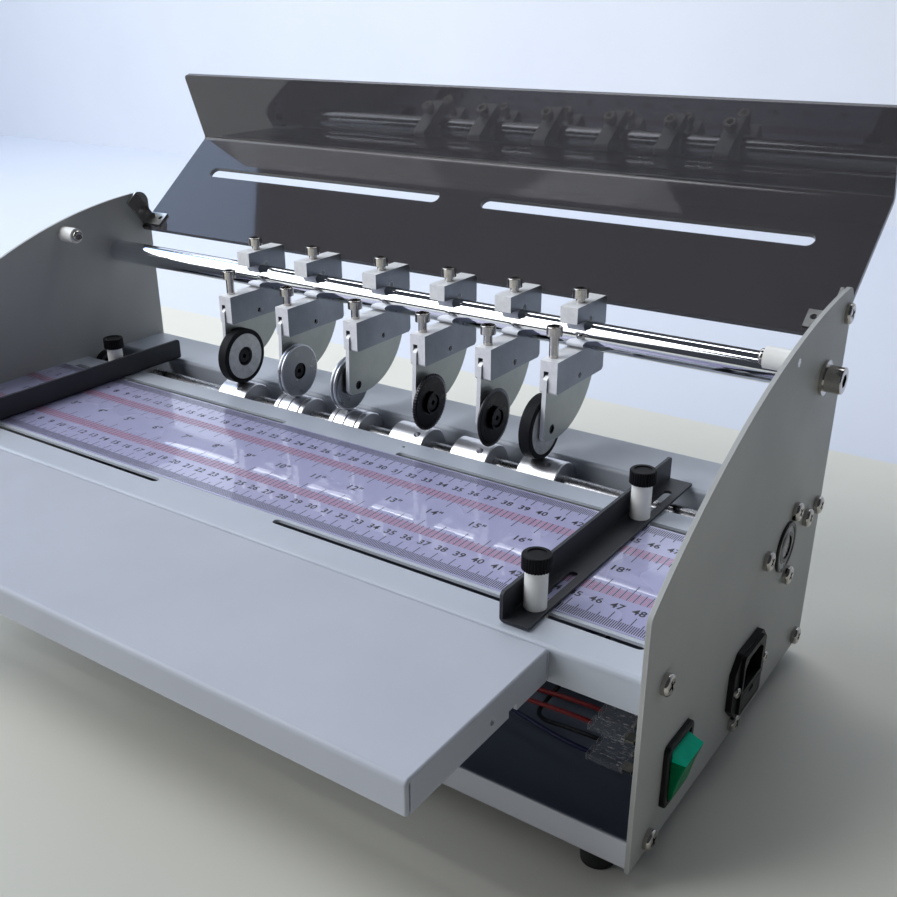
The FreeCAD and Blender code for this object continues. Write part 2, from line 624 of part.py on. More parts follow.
def motor_centre():
    return size("shaft_y"), size("shaft_z") - gear_distance() - size("motor_offset")


def motor_screws():
    y, z = motor_centre()
    return [(y + 20 * math.cos(math.radians(turn)), z + 20 * math.sin(math.radians(turn))) for turn in (-90, 150, 30)]


def gearmotor():
    """A round synchronous gearmotor hung on a bracket, its offset output shaft carrying the pinion."""
    face, length, radius = size("motor_face"), size("motor_length"), size("motor_radius")
    y, z = motor_centre()
    centre = Vector(face, y, z)
    along = Vector(1, 0, 0)
    gearbox = Part.makeCylinder(radius, 18, centre, along)
    can = Part.makeCylinder(radius - 1, length - 18, centre + along * 18, along)
    cap = Part.makeCylinder(6, 2.5, centre + along * length, along)
    motor = gearbox.fuse([can, cap])
    output = Vector(face, size("shaft_y"), size("shaft_z") - gear_distance())
    motor = motor.cut(Part.makeCylinder(4.05, 9, output, along))
    for hole_y, hole_z in motor_screws():
        motor = motor.cut(Part.makeCylinder(1.55, 6, Vector(face, hole_y, hole_z), along))
    node(made(motor.removeSplitter()), "gearmotor")

    floor = size("plate_foot") + size("gauge")
    wall = Part.makeBox(2, 56, 79 - floor, Vector(face - 2, y - 28, floor))
    foot = Part.makeBox(20, 56, 2, Vector(face - 22, y - 28, floor))
    bracket = wall.fuse(foot)
    bracket = bracket.cut(Part.makeCylinder(6, 4, output - along * 3, along))
    for hole_y, hole_z in motor_screws():
        bracket = bracket.cut(Part.makeCylinder(1.6, 4, Vector(face - 3, hole_y, hole_z), along))
    node(made(bracket.removeSplitter()), "motor_bracket")

    left = size("gear_left")
    teeth = gear_blank(size("pinion_teeth"), size("gear_face"), 90 + 180 / size("pinion_teeth"))
    teeth = teeth.cut(Part.makeCylinder(4, size("gear_face"), Vector(), along))
    teeth.translate(Vector(left, output.y, output.z))
    shaft = Part.makeCylinder(4, face + 8 - left, Vector(left, output.y, output.z), along)
    node(made(Part.makeCompound([teeth, shaft])), "motor_pinion")


# ---------------------------------------------------------------- paper guides
def guide(side):
    """side is +1 for the right guide: its wall faces the middle and its flange points outwards."""
    name = "right" if side > 0 else "left"
    edge = "guide_right" if side > 0 else "guide_left"
    low, high = "deck_top + guide_lift", "deck_top + guide_lift + guide_height"
    out = "%s + %d * " % (edge, side)
    span = ("guide_front", "guide_back")
    wall = block(sorted((edge, out + "gauge"), key=value), span, (low, high))
    flange = block(sorted((edge, out + "guide_flange"), key=value), span, (low, low + " + gauge"))
    angle = rounded(join(wall, flange), size("gauge") + 0.5,
                    lambda p, e: abs(p.x - value(edge)) < 0.01 and abs(p.z - value(low)) < 0.01 and e.Length > 50)
    angle = rounded(angle, 2.5, lambda p, e: abs(p.z - value(high)) < 0.01 and e.Length < 2)
    stud_x = out + "stud_inset"
    slots = []
    for y in ("slot_front", "slot_rear"):
        middle = block(("%s - stud_radius - 0.2" % stud_x, "%s + stud_radius + 0.2" % stud_x),
                       (y, y + " + guide_travel"), ("deck_top", "deck_top + 3"))
        ends = [rod("z", "stud_radius + 0.2", "deck_top", "deck_top + 3", stud_x, place)
                for place in (y, y + " + guide_travel")]
        slots.append(join(middle, *ends))
    node(cut(angle, *slots), name + "_guide")

    base = low + " + gauge + 0.1"
    pieces = []
    for end, y in (("front", "slot_front"), ("rear", "slot_rear")):
        sleeve = rod("z", "post_radius", base, base + " + post_height", stud_x, y)
        pieces.append(cut(sleeve, rod("z", "stud_radius + 0.1", base, base + " + post_height", stud_x, y)))
        nut = block((stud_x + " - 4", stud_x + " + 4"), (y + " - 4", y + " + 4"), ("deck_top - 5.3", "deck_top - 1.8"))
        pieces.append(cut(nut, rod("z", "stud_radius + 0.1", "deck_top - 6", "deck_top - 1", stud_x, y)))
        node(guide_knob(stud_x, y, base + " + post_height + 0.1"), "%s_guide_%s_knob" % (name, end))
    node(group(*pieces), name + "_guide_posts")


def guide_knob(x, y, z):
    """A knurled thumb screw: its head on the post, its stud down through the deck's slot."""
    radius, height, ribs = size("knob_radius"), size("knob_height"), 30
    points = []
    for rib in range(ribs):
        for share, reach in ((0.0, radius - 0.35), (0.3, radius), (0.6, radius)):
            angle = 2 * math.pi * (rib + share) / ribs
            points.append(Vector(reach * math.cos(angle), reach * math.sin(angle), 0))
    head = Part.Face(Part.makePolygon(points + points[:1])).extrude(Vector(0, 0, height))
    dome = Part.makeCylinder(radius, height)
    dome = dome.makeFillet(0.8, [edge for edge in dome.Edges if edge.CenterOfMass.z > height - 0.1])
    head = head.common(dome)
    head = head.cut(Part.makeCylinder(radius - 2.2, 0.5, Vector(0, 0, height - 0.5)))
    length = value(z) - size("deck_top") + 5.3
    knob = head.fuse(Part.makeCylinder(size("stud_radius"), length, Vector(0, 0, -length)))
    thing = made(knob)
    for axis, text in (("x", x), ("y", y), ("z", z)):
        bind(thing, "Placement.Base." + axis, text)
    return thing


# ---------------------------------------------------------------- tool holders
def tool_block(x, name):
    """A clamp block: the tie bar passes through its notch, and its lower jaw carries the arm."""
    bar_y, bar_z = size("bar_y"), size("bar_z")
    reach = size("bar_radius") + 0.3
    profile = outline([
        (59.0, 144.3), (60.0, 143.3), (110.4, 143.3), (112.0, 144.9), (112.0, 184.0), (110.5, 185.5), (78.4, 185.5),
        (78.4, bar_z + reach), (bar_y, bar_z + reach), ("arc", (bar_y + reach, bar_z), (bar_y, bar_z - reach)),
        (59.0, bar_z - reach),
    ])
    body = padded("YZ", profile, "%s - block_width / 2" % x, "block_width")
    arm = "%s + arm_shift" % x
    tools = [
        block((arm + " - arm_thick / 2 - 0.2", arm + " + arm_thick / 2 + 0.2"), (55, 94), (140, 155.5)),
        rod("x", "arm_pin + 0.05", x + " - block_width", x + " + block_width", "arm_pivot_y", "arm_pivot_z"),
        rod("x", 2.0, x + " - block_width", x + " + block_width", 93.6, 176.4),
        rod("z", "screw_radius + 0.05", 150, 190, arm, "press_y"),
        rod("z", "screw_radius + 0.05", 170, 190, x, "clamp_y"),
    ]
    node(cut(body, *tools), name + "_block")


def holder_screws(x, name, press_top):
    """The clamp screw, the pressure screw and the arm's pivot pin of one holder."""
    centre = value(x)
    arm = centre + size("arm_shift")
    head, height, shank = size("screw_head"), size("screw_head_height"), size("screw_radius")
    bar_top = size("bar_z") + size("bar_radius")
    top = size("clamp_head_top") - height
    clamp = cap_screw(head, height, 4.0, shank, top - bar_top - 0.3, 2.6)
    press = cap_screw(head, height, 4.0, shank, press_top - height - 155.5, 2.6)
    half = size("block_width") / 2 - 1.5
    pin = Part.makeCylinder(size("arm_pin"), 2 * half, Vector(centre - half, 0, 0), Vector(1, 0, 0))
    pin.translate(Vector(0, size("arm_pivot_y"), size("arm_pivot_z")))
    pieces = [put(clamp, (0, 0, 1), (centre, size("clamp_y"), top)),
              put(press, (0, 0, 1), (arm, size("press_y"), press_top - height)), pin]
    node(made(Part.makeCompound(pieces)), name + "_screws")


def tool_arm(x, name, side, seat, axle):
    """The flat arm and the shoulder screw that its wheel turns on; seat is where the screw's head bears."""
    centre_y, centre_z = size("shaft_y"), size(axle)
    profile = outline([
        (58.0, 151.0), (56.5, 118.5), (59.0, 115.7), (71.5, 114.2), ("arc", (95.0, 121.3), (110.5, 141.6)),
        (110.0, 142.2), (93.0, 142.2), (90.0, 149.5), (86.0, 153.0), (60.0, 153.0),
    ])
    start = "%s + arm_shift - arm_thick / 2" % x
    plate = padded("YZ", profile, start, "arm_thick")
    across = (x + " - 20", x + " + 20")
    plate = cut(plate, rod("x", "arm_pin + 0.1", *across, "arm_pivot_y", "arm_pivot_z"),
                rod("x", "arm_tap + 0.05", *across, "shaft_y", axle))
    face = value(x) + size("arm_shift") + side * size("arm_thick") / 2
    bolt = cap_screw(4.6, 3.4, 3.0, 2.5, seat + 0.1, 2.0)
    tip = size("arm_thick") - 0.8
    bolt = bolt.fuse(Part.makeCylinder(size("arm_tap"), tip, Vector(-seat - 0.1 - tip, 0, 0), Vector(1, 0, 0)))
    bolt = put(bolt, (side, 0, 0), (face + side * (seat + 0.1), centre_y, centre_z))
    node(group(plate, made(bolt)), name + "_arm")


def wheel_points(kind, radius):
    """Half-section of a wheel as (along, radius) points from the arm's side outwards."""
    if kind == "crease":
        return [(0.35, 2.6), (0.35, 7.0), (1.6, 7.0), (1.6, 14.6), (2.4, 15.2), (2.4, 16.2), (2.9, radius),
                (3.5, radius), (3.9, 15.6), (5.1, 15.6), (5.5, radius), (6.2, radius), (6.6, 16.2), (6.6, 5.2),
                (2.4, 5.2), (2.4, 2.6)]
    if kind == "slit":
        return [(0.35, 2.6), (0.35, 7.0), (2.0, 7.0), (2.0, 14.4), (3.9, radius), (4.1, radius), (4.6, 14.4),
                (4.6, 6.6), (6.8, 6.6), (6.8, 5.2), (2.6, 5.2), (2.6, 2.6)]
    if kind == "perforate":
        return [(0.35, 2.6), (0.35, 7.0), (1.8, 7.0), (1.8, 13.6), (3.5, radius), (4.2, radius), (4.9, 14.4),
                (4.9, 6.6), (6.8, 6.6), (6.8, 5.2), (2.6, 5.2), (2.6, 2.6)]
    return [(0.35, 2.6), (0.35, 7.0), (0.9, 7.0), (0.9, 14.8), (8.1, 14.8), (8.1, 6.2), (3.6, 6.2), (3.6, 2.6)]


WHEEL_KINDS = ["feed", "crease", "crease", "perforate", "slit", "feed"]
WHEEL_SEATS = {"feed": 3.6, "crease": 2.4, "perforate": 2.6, "slit": 2.6}


def revolve_at(points, face, side, y, z):
    profile = [Vector(face + side * along, radius, 0) for along, radius in points]
    solid = Part.Face(Part.makePolygon(profile + profile[:1])).revolve(Vector(), Vector(1, 0, 0), 360)
    solid.translate(Vector(0, y, z))
    return solid


def tool_wheel(x, name, side, kind):
    family = "feed_wheel" if kind == "feed" else "wheel"
    radius, y, z = size(family + "_radius"), size("shaft_y"), size(family + "_z")
    face = value(x) + size("arm_shift") + side * size("arm_thick") / 2
    wheel = revolve_at(wheel_points(kind, radius), face, side, y, z)
    pieces = [wheel]
    if kind == "feed":
        tyre = [(0.9, 14.8), (0.9, radius - 0.5), (1.4, radius), (7.6, radius), (8.1, radius - 0.5), (8.1, 14.8)]
        pieces.append(revolve_at(tyre, face, side, y, z))
    if kind == "perforate":
        teeth = 60
        for tooth in range(teeth):
            angle = 2 * math.pi * tooth / teeth
            notch = Part.makeBox(4.4, 0.95, 2.0, Vector(-2.2, -0.475, radius - 1.2))
            notch.rotate(Vector(), Vector(1, 0, 0), math.degrees(angle))
            notch.translate(Vector(face + side * 3.7, y, z))
            pieces[0] = pieces[0].cut(notch)
    node(made(Part.makeCompound(pieces)), name + "_wheel")


def holder(index):
    x = "station_" + STATIONS[index]
    name, side, kind = TOOLS[index], WHEEL_SIDES[index], WHEEL_KINDS[index]
    tool_block(x, name)
    holder_screws(x, name, PRESS_HEAD_TOPS[index])
    tool_arm(x, name, side, WHEEL_SEATS[kind], "feed_wheel_z" if kind == "feed" else "wheel_z")
    tool_wheel(x, name, side, kind)


# ---------------------------------------------------------------- switch, inlet and leads
def power_switch():
    """A rocker switch in a proud bezel; the rocker rests with its upper half out."""
    face = size("inner_width") / 2 + size("plate")
    y, z = size("switch_y"), size("switch_z")
    wide, high = size("switch_width"), size("switch_height")
    bezel = Part.makeBox(2.6, wide, high, Vector(face, y - wide / 2, z - high / 2))
    corners = [edge for edge in bezel.Edges if edge.tangentAt(0).isEqual(Vector(1, 0, 0), 1e-6)]
    bezel = bezel.makeFillet(2.5, corners)
    front = [edge for edge in bezel.Edges if abs(edge.CenterOfMass.x - face - 2.6) < 1e-6]
    bezel = bezel.makeFillet(0.9, front)
    housing = Part.makeBox(13, 22, 27.6, Vector(face - 13, y - 11, z - 13.8))
    housing = housing.fuse(bezel)
    housing = housing.cut(Part.makeBox(13, 20, 26.4, Vector(face - 10, y - 10, z - 13.2)))
    housing = housing.cut(Part.makeCylinder(1.6, 24, Vector(face - 2, y - 12, z), Vector(0, 1, 0)))
    tabs = []
    for step_y in (-5, 5):
        for step_z in (-8, 8):
            tabs.append(Part.makeBox(8, 6.3, 0.8, Vector(face - 21, y + step_y - 3.15, z + step_z - 0.4)))
    node(made(Part.makeCompound([housing.removeSplitter()] + tabs)), "switch_housing")

    tilt = size("switch_tilt")
    profile = [(-3.5, -8.0), (0.5, -11.3), (8.4, -10.3), (8.0, 0.0), (8.4, 10.3), (0.5, 11.3), (-3.5, 8.0)]
    points = [Vector(along, -9.6, up) for along, up in profile]
    rocker = Part.Face(Part.makePolygon(points + points[:1])).extrude(Vector(0, 19.2, 0))
    rocker = rocker.makeFillet(0.6, [edge for edge in rocker.Edges if edge.CenterOfMass.x > 7.5 and edge.Length < 11])
    rocker = rocker.fuse(Part.makeCylinder(1.5, 21.4, Vector(0, -10.7, 0), Vector(0, 1, 0))).removeSplitter()
    rocker.rotate(Vector(), Vector(0, 1, 0), tilt)
    rocker.translate(Vector(face - 2.0, y, z))
    node(made(rocker), "power_rocker")


def power_inlet():
    """An appliance inlet above a fuse drawer: a flange with two screw holes, a socket with three pins."""
    face = size("inner_width") / 2 + size("plate")
    y, z, socket_z = size("inlet_y"), size("inlet_z"), size("socket_z")
    wide, high, thick = size("inlet_width") / 2, size("inlet_height") / 2, size("inlet_flange")
    rim = [(-wide, -high + 8), (-wide + 7.5, -high), (wide - 7.5, -high), (wide, -high + 8),
           (wide, high - 8), (wide - 7.5, high), (-wide + 7.5, high), (-wide, high - 8)]
    points = [Vector(face, y + across, z + up) for across, up in rim]
    flange = Part.Face(Part.makePolygon(points + points[:1])).extrude(Vector(thick, 0, 0))
    flange = flange.makeFillet(2.5, [edge for edge in flange.Edges if edge.tangentAt(0).isEqual(Vector(1, 0, 0), 1e-6)])
    collar = Part.makeBox(thick + 1.6, 28, 33, Vector(face, y - 14, z - 16.5))
    collar = collar.makeFillet(2.5, [edge for edge in collar.Edges if edge.tangentAt(0).isEqual(Vector(1, 0, 0), 1e-6)])
    shell = Part.makeBox(18, 27, 29, Vector(face - 18, y - 13.5, z - 14.5))
    inlet = shell.fuse([flange, collar])
    socket = [(-11.8, -8.2), (11.8, -8.2), (11.8, 4.6), (7.6, 8.2), (-7.6, 8.2), (-11.8, 4.6)]
    points = [Vector(face - 12, y + across, socket_z + up) for across, up in socket]
    inlet = inlet.cut(Part.Face(Part.makePolygon(points + points[:1])).extrude(Vector(20, 0, 0)))
    front = face + thick + 1.6
    gap = Part.makeBox(1, 22.8, 9.8, Vector(front - 0.7, y - 11.4, z - 14.9))
    gap = gap.cut(Part.makeBox(1, 21.8, 8.8, Vector(front - 0.7, y - 10.9, z - 14.4)))
    inlet = inlet.cut([gap, Part.makeBox(1, 6, 2.4, Vector(front - 0.7, y - 3, z - 8.6))])
    for turn in (-1, 1):
        hole = Vector(face - 1, y + turn * size("inlet_screw"), z)
        inlet = inlet.cut(Part.makeCylinder(1.6, thick + 2, hole, Vector(1, 0, 0)))
    pins = []
    for across, up in ((-7.0, -1.0), (0.0, 3.0), (7.0, -1.0)):
        pin = Part.makeBox(9.5, 2.0, 4.0, Vector(face - 12, y + across - 1.0, socket_z + up - 2.0))
        tab = Part.makeBox(8.0, 0.8, 6.3, Vector(face - 26, y + across - 0.4, socket_z + up - 3.15))
        pins += [pin, tab]
    node(made(Part.makeCompound([inlet.removeSplitter()] + pins)), "power_inlet")


def lead(route, radius):
    """A round lead along straight runs joined by tangent arcs."""
    points = [Vector(*point) for point in route]
    edges = []
    here = points[0]
    for before, corner, after in zip(points, points[1:], points[2:]):
        back, ahead = before - corner, after - corner
        shorter = min(back.Length, ahead.Length)
        back.normalize()
        ahead.normalize()
        reach = 0.45 * shorter
        half = back.getAngle(ahead) / 2
        bend = reach * math.tan(half)
        middle = corner + (back + ahead).normalize() * (bend / math.sin(half) - bend)
        edges.append(Part.LineSegment(here, corner + back * reach).toShape())
        edges.append(Part.Arc(corner + back * reach, middle, corner + ahead * reach).toShape())
        here = corner + ahead * reach
    edges.append(Part.LineSegment(here, points[-1]).toShape())
    path = Part.Wire(edges)
    ring = Part.Wire([Part.Circle(points[0], points[1] - points[0], radius).toShape()])
    tube = path.makePipeShell([ring], True, False)
    expected = math.pi * radius ** 2 * path.Length
    if not tube.isValid() or abs(tube.Volume - expected) > 0.02 * expected:
        raise RuntimeError("a lead's tube is faulty")
    return tube


# where each lead runs, end to end, held by its two terminals
LEADS = {
    "red": [[(215.4, -60.5, 48), (201, -60.5, 48), (168, -55, 41), (120, -44, 24), (40, -30, 17), (-60, -10, 17),
             (-118, 22, 20), (-142, 46, 32), (-150, 53, 43), (-161.9, 53, 43)],
            [(215.4, -50.5, 48), (201, -50.5, 48), (166, -49, 43), (118, -38, 28), (38, -24, 20), (-62, -4, 20),
             (-114, 32, 22), (-138, 54, 36), (-148, 59, 48), (-161.9, 59, 48)]],
    "blue": [[(215.4, -60.5, 32), (202, -60.5, 32), (166, -52, 32), (116, -36, 19), (60, -8, 15), (120, 14, 16),
              (168, 19.1, 34), (190, 19.1, 43.2), (205.9, 19.1, 43.2)]],
    "black": [[(215.4, -50.5, 32), (202, -50.5, 32), (178, -44, 24), (172, -20, 18), (174, 8, 22), (182, 28, 34),
               (192, 33.1, 43.2), (205.9, 33.1, 43.2)]],
}


def internal_wires():
    tubes = [lead(route, size("lead_radius")) for routes in LEADS.values() for route in routes]
    node(made(Part.makeCompound(tubes)), "internal_wires")

    face = size("inner_width") / 2 + size("plate")
    sleeves = []
    for step_y in (-5, 5):
        for step_z in (-8, 8):
            place = Vector(face - 36.5, size("switch_y") + step_y - 3.9, size("switch_z") + step_z - 2.0)
            sleeve = Part.makeBox(17, 7.8, 4.0, place)
            sleeve = sleeve.makeFillet(1.2, [edge for edge in sleeve.Edges if edge.Length > 16])
            tab = Part.makeBox(8.2, 6.4, 0.9, Vector(face - 21.1, place.y + 0.7, place.z + 1.55))
            sleeves.append(sleeve.cut(tab))
    for across, up in ((-7.0, -1.0), (7.0, -1.0)):
        place = Vector(face - 46, size("inlet_y") + across - 2.0, size("socket_z") + up - 3.9)
        sleeve = Part.makeBox(26, 4.0, 7.8, place)
        sleeve = sleeve.makeFillet(1.2, [edge for edge in sleeve.Edges if edge.Length > 25])
        tab = Part.makeBox(6.2, 0.9, 6.4, Vector(face - 26.1, place.y + 1.55, place.z + 0.7))
        sleeves.append(sleeve.cut(tab))
    node(made(Part.makeCompound(sleeves)), "wire_terminals")


# ---------------------------------------------------------------- build, check and write
side_plate(-1)
side_plate(1)
base_pan()
deck()
rear_deck()
feed_tray()
rubber_feet()
frame_screws()
tie_bar()
cover_stops()
cover()
drive_shaft()
drive_rollers()
shaft_bearings()
drive_gear()
gearmotor()
guide(-1)
guide(1)
for number in range(len(STATIONS)):
    holder(number)
power_switch()
power_inlet()
internal_wires()
doc.recompute()

faults = [thing.Name for thing in doc.Objects if {"Invalid", "Error"} & set(thing.State)]
if faults:
    raise RuntimeError("these objects failed: " + ", ".join(faults))
for thing in PARTS:
    shape = thing.Shape
    if shape.isNull() or not shape.isValid() or not shape.Solids:
        raise RuntimeError(thing.Label + " is not a valid solid")

os.makedirs("parts", exist_ok=True)
everything = FreeCAD.BoundBox()
for thing in PARTS:
    thing.Shape.exportStep("parts/%s.step" % thing.Label)
    everything.add(thing.Shape.BoundBox)
print(len(PARTS), "sub-parts, box", everything)
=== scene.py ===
"""Looks, camera and light of the desktop paper creasing machine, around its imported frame."""
import math

import bmesh
import bpy
from mathutils import Matrix, Vector


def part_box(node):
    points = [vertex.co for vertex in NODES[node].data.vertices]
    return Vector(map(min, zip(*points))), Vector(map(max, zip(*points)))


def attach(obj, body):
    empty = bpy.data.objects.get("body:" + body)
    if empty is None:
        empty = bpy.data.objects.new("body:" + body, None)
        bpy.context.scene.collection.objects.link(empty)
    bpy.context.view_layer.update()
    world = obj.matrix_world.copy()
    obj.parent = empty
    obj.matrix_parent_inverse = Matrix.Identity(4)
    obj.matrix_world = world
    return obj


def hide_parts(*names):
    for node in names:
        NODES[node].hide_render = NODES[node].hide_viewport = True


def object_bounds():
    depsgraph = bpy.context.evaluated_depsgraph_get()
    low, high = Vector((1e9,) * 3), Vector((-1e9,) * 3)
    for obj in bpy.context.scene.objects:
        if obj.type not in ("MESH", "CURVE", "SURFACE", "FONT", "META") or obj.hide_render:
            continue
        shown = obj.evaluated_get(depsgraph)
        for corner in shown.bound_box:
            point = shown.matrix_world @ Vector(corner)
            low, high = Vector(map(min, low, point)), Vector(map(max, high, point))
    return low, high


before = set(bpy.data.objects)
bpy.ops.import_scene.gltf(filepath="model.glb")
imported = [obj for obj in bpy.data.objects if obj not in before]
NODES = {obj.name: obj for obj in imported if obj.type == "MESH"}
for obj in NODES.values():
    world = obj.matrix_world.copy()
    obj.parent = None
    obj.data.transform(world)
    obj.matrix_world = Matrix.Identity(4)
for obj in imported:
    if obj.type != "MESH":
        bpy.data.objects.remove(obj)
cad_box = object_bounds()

MM = 0.001
IMAGE = 897                     # sides of the photo, in pixels

# Places in the frame
SHAFT_Y, SHAFT_Z = 65.5 * MM, 89.2 * MM
WHEEL_Z, FEED_WHEEL_Z = 120.2 * MM, 121.4 * MM
ARM_FROM_BLOCK = -1.5 * MM      # from the middle of a block to the middle of its arm, in X
PIN_TOP = 152.5 * MM            # the pivot pins lie below it, the screws above it
PAN_LIP_BACK = -93.4 * MM       # back of the pan's front lip, in Y
SWITCH_TIN, INLET_TIN = 236.4 * MM, 231.4 * MM          # the tin on the tabs ends here, in X
BENCH_BACK, WALL = 0.415, 1.35  # the bench's back edge and the wall, in Y

# Where the colour changes on nodes that have two: radii, unless said otherwise
ARM_HALF = 1.3 * MM             # the axle's head is farther than this from the middle of its arm, in X
# the axle screw's black head, and the small disc painted dark as the shade of the hole the screw's tip sits
# in
AXLE_HEAD, AXLE_HOLE_SHADE = 4.8 * MM, 2.6 * MM
TYRE_INNER, HUB = 14.8 * MM, 6.2 * MM
CREASE_RIM, BLADE_RIM = 15.8 * MM, 15.0 * MM
BEARING_GROOVE, BEARING_OUTER = 7.8 * MM, 10.6 * MM
ROCKER_END = 3.1 * MM           # height of the end face at the rocker's top that is painted as lit
FADE = 0.4 * MM                 # one colour goes over into the next within this


# ---------------------------------------------------------------- material kit
def linear(red, green, blue):
    """A display colour, 0 to 255, as a linear one."""
    parts = [part / 255 for part in (red, green, blue)]
    parts = [part / 12.92 if part <= 0.04045 else ((part + 0.055) / 1.055) ** 2.4 for part in parts]
    return (*parts, 1.0)


class Finish:
    """One node material: textures, masks and bump that feed a Principled shader."""

    def __init__(self, name, **sockets):
        self.material = bpy.data.materials.new(name)
        self.material.use_nodes = True
        self.nodes = self.material.node_tree.nodes
        self.links = self.material.node_tree.links
        self.shader = next(node for node in self.nodes if node.type == "BSDF_PRINCIPLED")
        self.place = self.add("ShaderNodeTexCoord").outputs["Object"]
        self.height = None
        for socket, number in sockets.items():
            self.shader.inputs[socket.replace("_", " ")].default_value = number

    def add(self, kind, **inputs):
        """A new node; each input is a value or an output to link."""
        node = self.nodes.new(kind)
        for key, thing in inputs.items():
            self.feed(node.inputs[int(key[1:]) if key[1:].isdigit() else key], thing)
        return node

    def feed(self, socket, thing):
        """Give a socket a value, or a link from an output."""
        if isinstance(thing, bpy.types.NodeSocket):
            self.links.new(thing, socket)
        else:
            socket.default_value = thing

    def math(self, operation, first, second=0.0):
        """One step of arithmetic, each number a value or an output."""
        node = self.add("ShaderNodeMath", _0=first, _1=second)
        node.operation = operation
        return node.outputs[0]

    def stretched(self, scale):
        """Object coordinates, scaled along each axis."""
        return self.add("ShaderNodeMapping", Vector=self.place, Scale=scale).outputs[0]

    def noise(self, scale, detail=3.0, rough=0.55, place=None):
        """Noise of a scale in features per metre, 0 to 1."""
        node = self.add("ShaderNodeTexNoise", Vector=place or self.place, Scale=scale, Detail=detail,
                        Roughness=rough)
        return node.outputs["Fac"]

    def between(self, fac, low, high, start=0.3, end=0.7):
        """A number that goes from low to high while fac goes from start to end."""
        node = self.add("ShaderNodeMapRange", Value=fac)
        for index, number in enumerate((start, end, low, high), start=1):
            node.inputs[index].default_value = number
        return node.outputs[0]

    def blend(self, fac, first, second):
        """The first colour where fac is 0, the second where it is 1."""
        node = self.nodes.new("ShaderNodeMix")
        node.data_type = "RGBA"
        self.feed(node.inputs[0], fac)
        self.feed(node.inputs[6], first)
        self.feed(node.inputs[7], second)
        return node.outputs[2]

    def edges(self, radius):
        """1 along sharp edges and corners, 0 on the flats."""
        bevel = self.add("ShaderNodeBevel", Radius=radius)
        bevel.samples = 4
        flat = self.add("ShaderNodeNewGeometry").outputs["Normal"]
        dot = self.add("ShaderNodeVectorMath", _0=bevel.outputs[0], _1=flat)
        dot.operation = "DOT_PRODUCT"
        return self.between(dot.outputs["Value"], 1.0, 0.0, 0.75, 0.98)

    def rubbed(self, radius, share):
        """A share of wear along sharp edges and corners, 0 on the flats."""
        return self.math("MULTIPLY", self.edges(radius), share)

    def radius(self, centre):
        """Distance from an X axis through centre, in metres."""
        off = self.add("ShaderNodeVectorMath", _0=self.place, _1=centre)
        off.operation = "SUBTRACT"
        flat = self.add("ShaderNodeVectorMath", _0=off.outputs[0], _1=(0, 1, 1))
        flat.operation = "MULTIPLY"
        long = self.add("ShaderNodeVectorMath", _0=flat.outputs[0])
        long.operation = "LENGTH"
        return long.outputs["Value"]

    def within(self, reach, limit, blur=0.1 * MM):
        """1 where reach is under the limit, 0 where it is over the limit and the blur."""
        return self.between(reach, 1.0, 0.0, limit, limit + blur)

    def beyond(self, reach, limit, blur=0.1 * MM):
        """0 where reach is under the limit, 1 where it is over the limit and the blur."""
        return self.between(reach, 0.0, 1.0, limit, limit + blur)

    def along(self, axis):
        """The coordinate along an axis, in metres."""
        return self.add("ShaderNodeSeparateXYZ", Vector=self.place).outputs[axis]

    def sides(self):
        """1 on the faces that look along X, 0 on the others."""
        normal = self.add("ShaderNodeNewGeometry").outputs["Normal"]
        along = self.add("ShaderNodeSeparateXYZ", Vector=normal).outputs["X"]
        return self.between(self.math("ABSOLUTE", along), 0.0, 1.0, 0.6, 0.8)

    def bump(self, height, distance):
        """Raise the surface by height times distance; calls add up."""
        node = self.add("ShaderNodeBump", Height=height, Distance=distance, Strength=1.0)
        if self.height is not None:
            self.links.new(self.height, node.inputs["Normal"])
        self.height = node.outputs[0]

    def done(self, colour, roughness, metallic=None):
        """The material, with what its shader's main sockets take."""
        for socket, thing in (("Base Color", colour), ("Roughness", roughness), ("Metallic", metallic)):
            if thing is not None:
                self.feed(self.shader.inputs[socket], thing)
        if self.height is not None:
            self.links.new(self.height, self.shader.inputs["Normal"])
        return self.material


def powder(name, colour, worn, grain=2600.0, depth=0.03 * MM, rough=(0.42, 0.56), shaded_behind=None):
    """Powder-coated sheet: orange peel, faint cloudiness, paint rubbed thin along the edges.

    The last argument is a place in Y behind which the coat is painted darker and bluer, as painted shade."""
    paint = Finish(name, Metallic=0.0)
    cloud = paint.noise(18, 4)
    if shaded_behind is not None:
        # painted shade: behind this place in Y the colour turns darker, for the shade inside the pan
        behind = paint.beyond(paint.along("Y"), shaded_behind, FADE)
        colour = paint.blend(behind, colour, linear(104, 112, 128))
    tone = paint.blend(paint.between(cloud, 0.0, 0.05, 0.35, 0.7), colour, linear(60, 60, 64))
    rub = paint.rubbed(0.8 * MM, paint.between(paint.noise(160, 4), 0.2, 0.6, 0.4, 0.6))
    paint.bump(paint.noise(grain, 2), depth)
    paint.bump(paint.noise(grain / 6, 2), depth)
    return paint.done(paint.blend(rub, tone, worn), paint.between(cloud, rough[0], rough[1]))


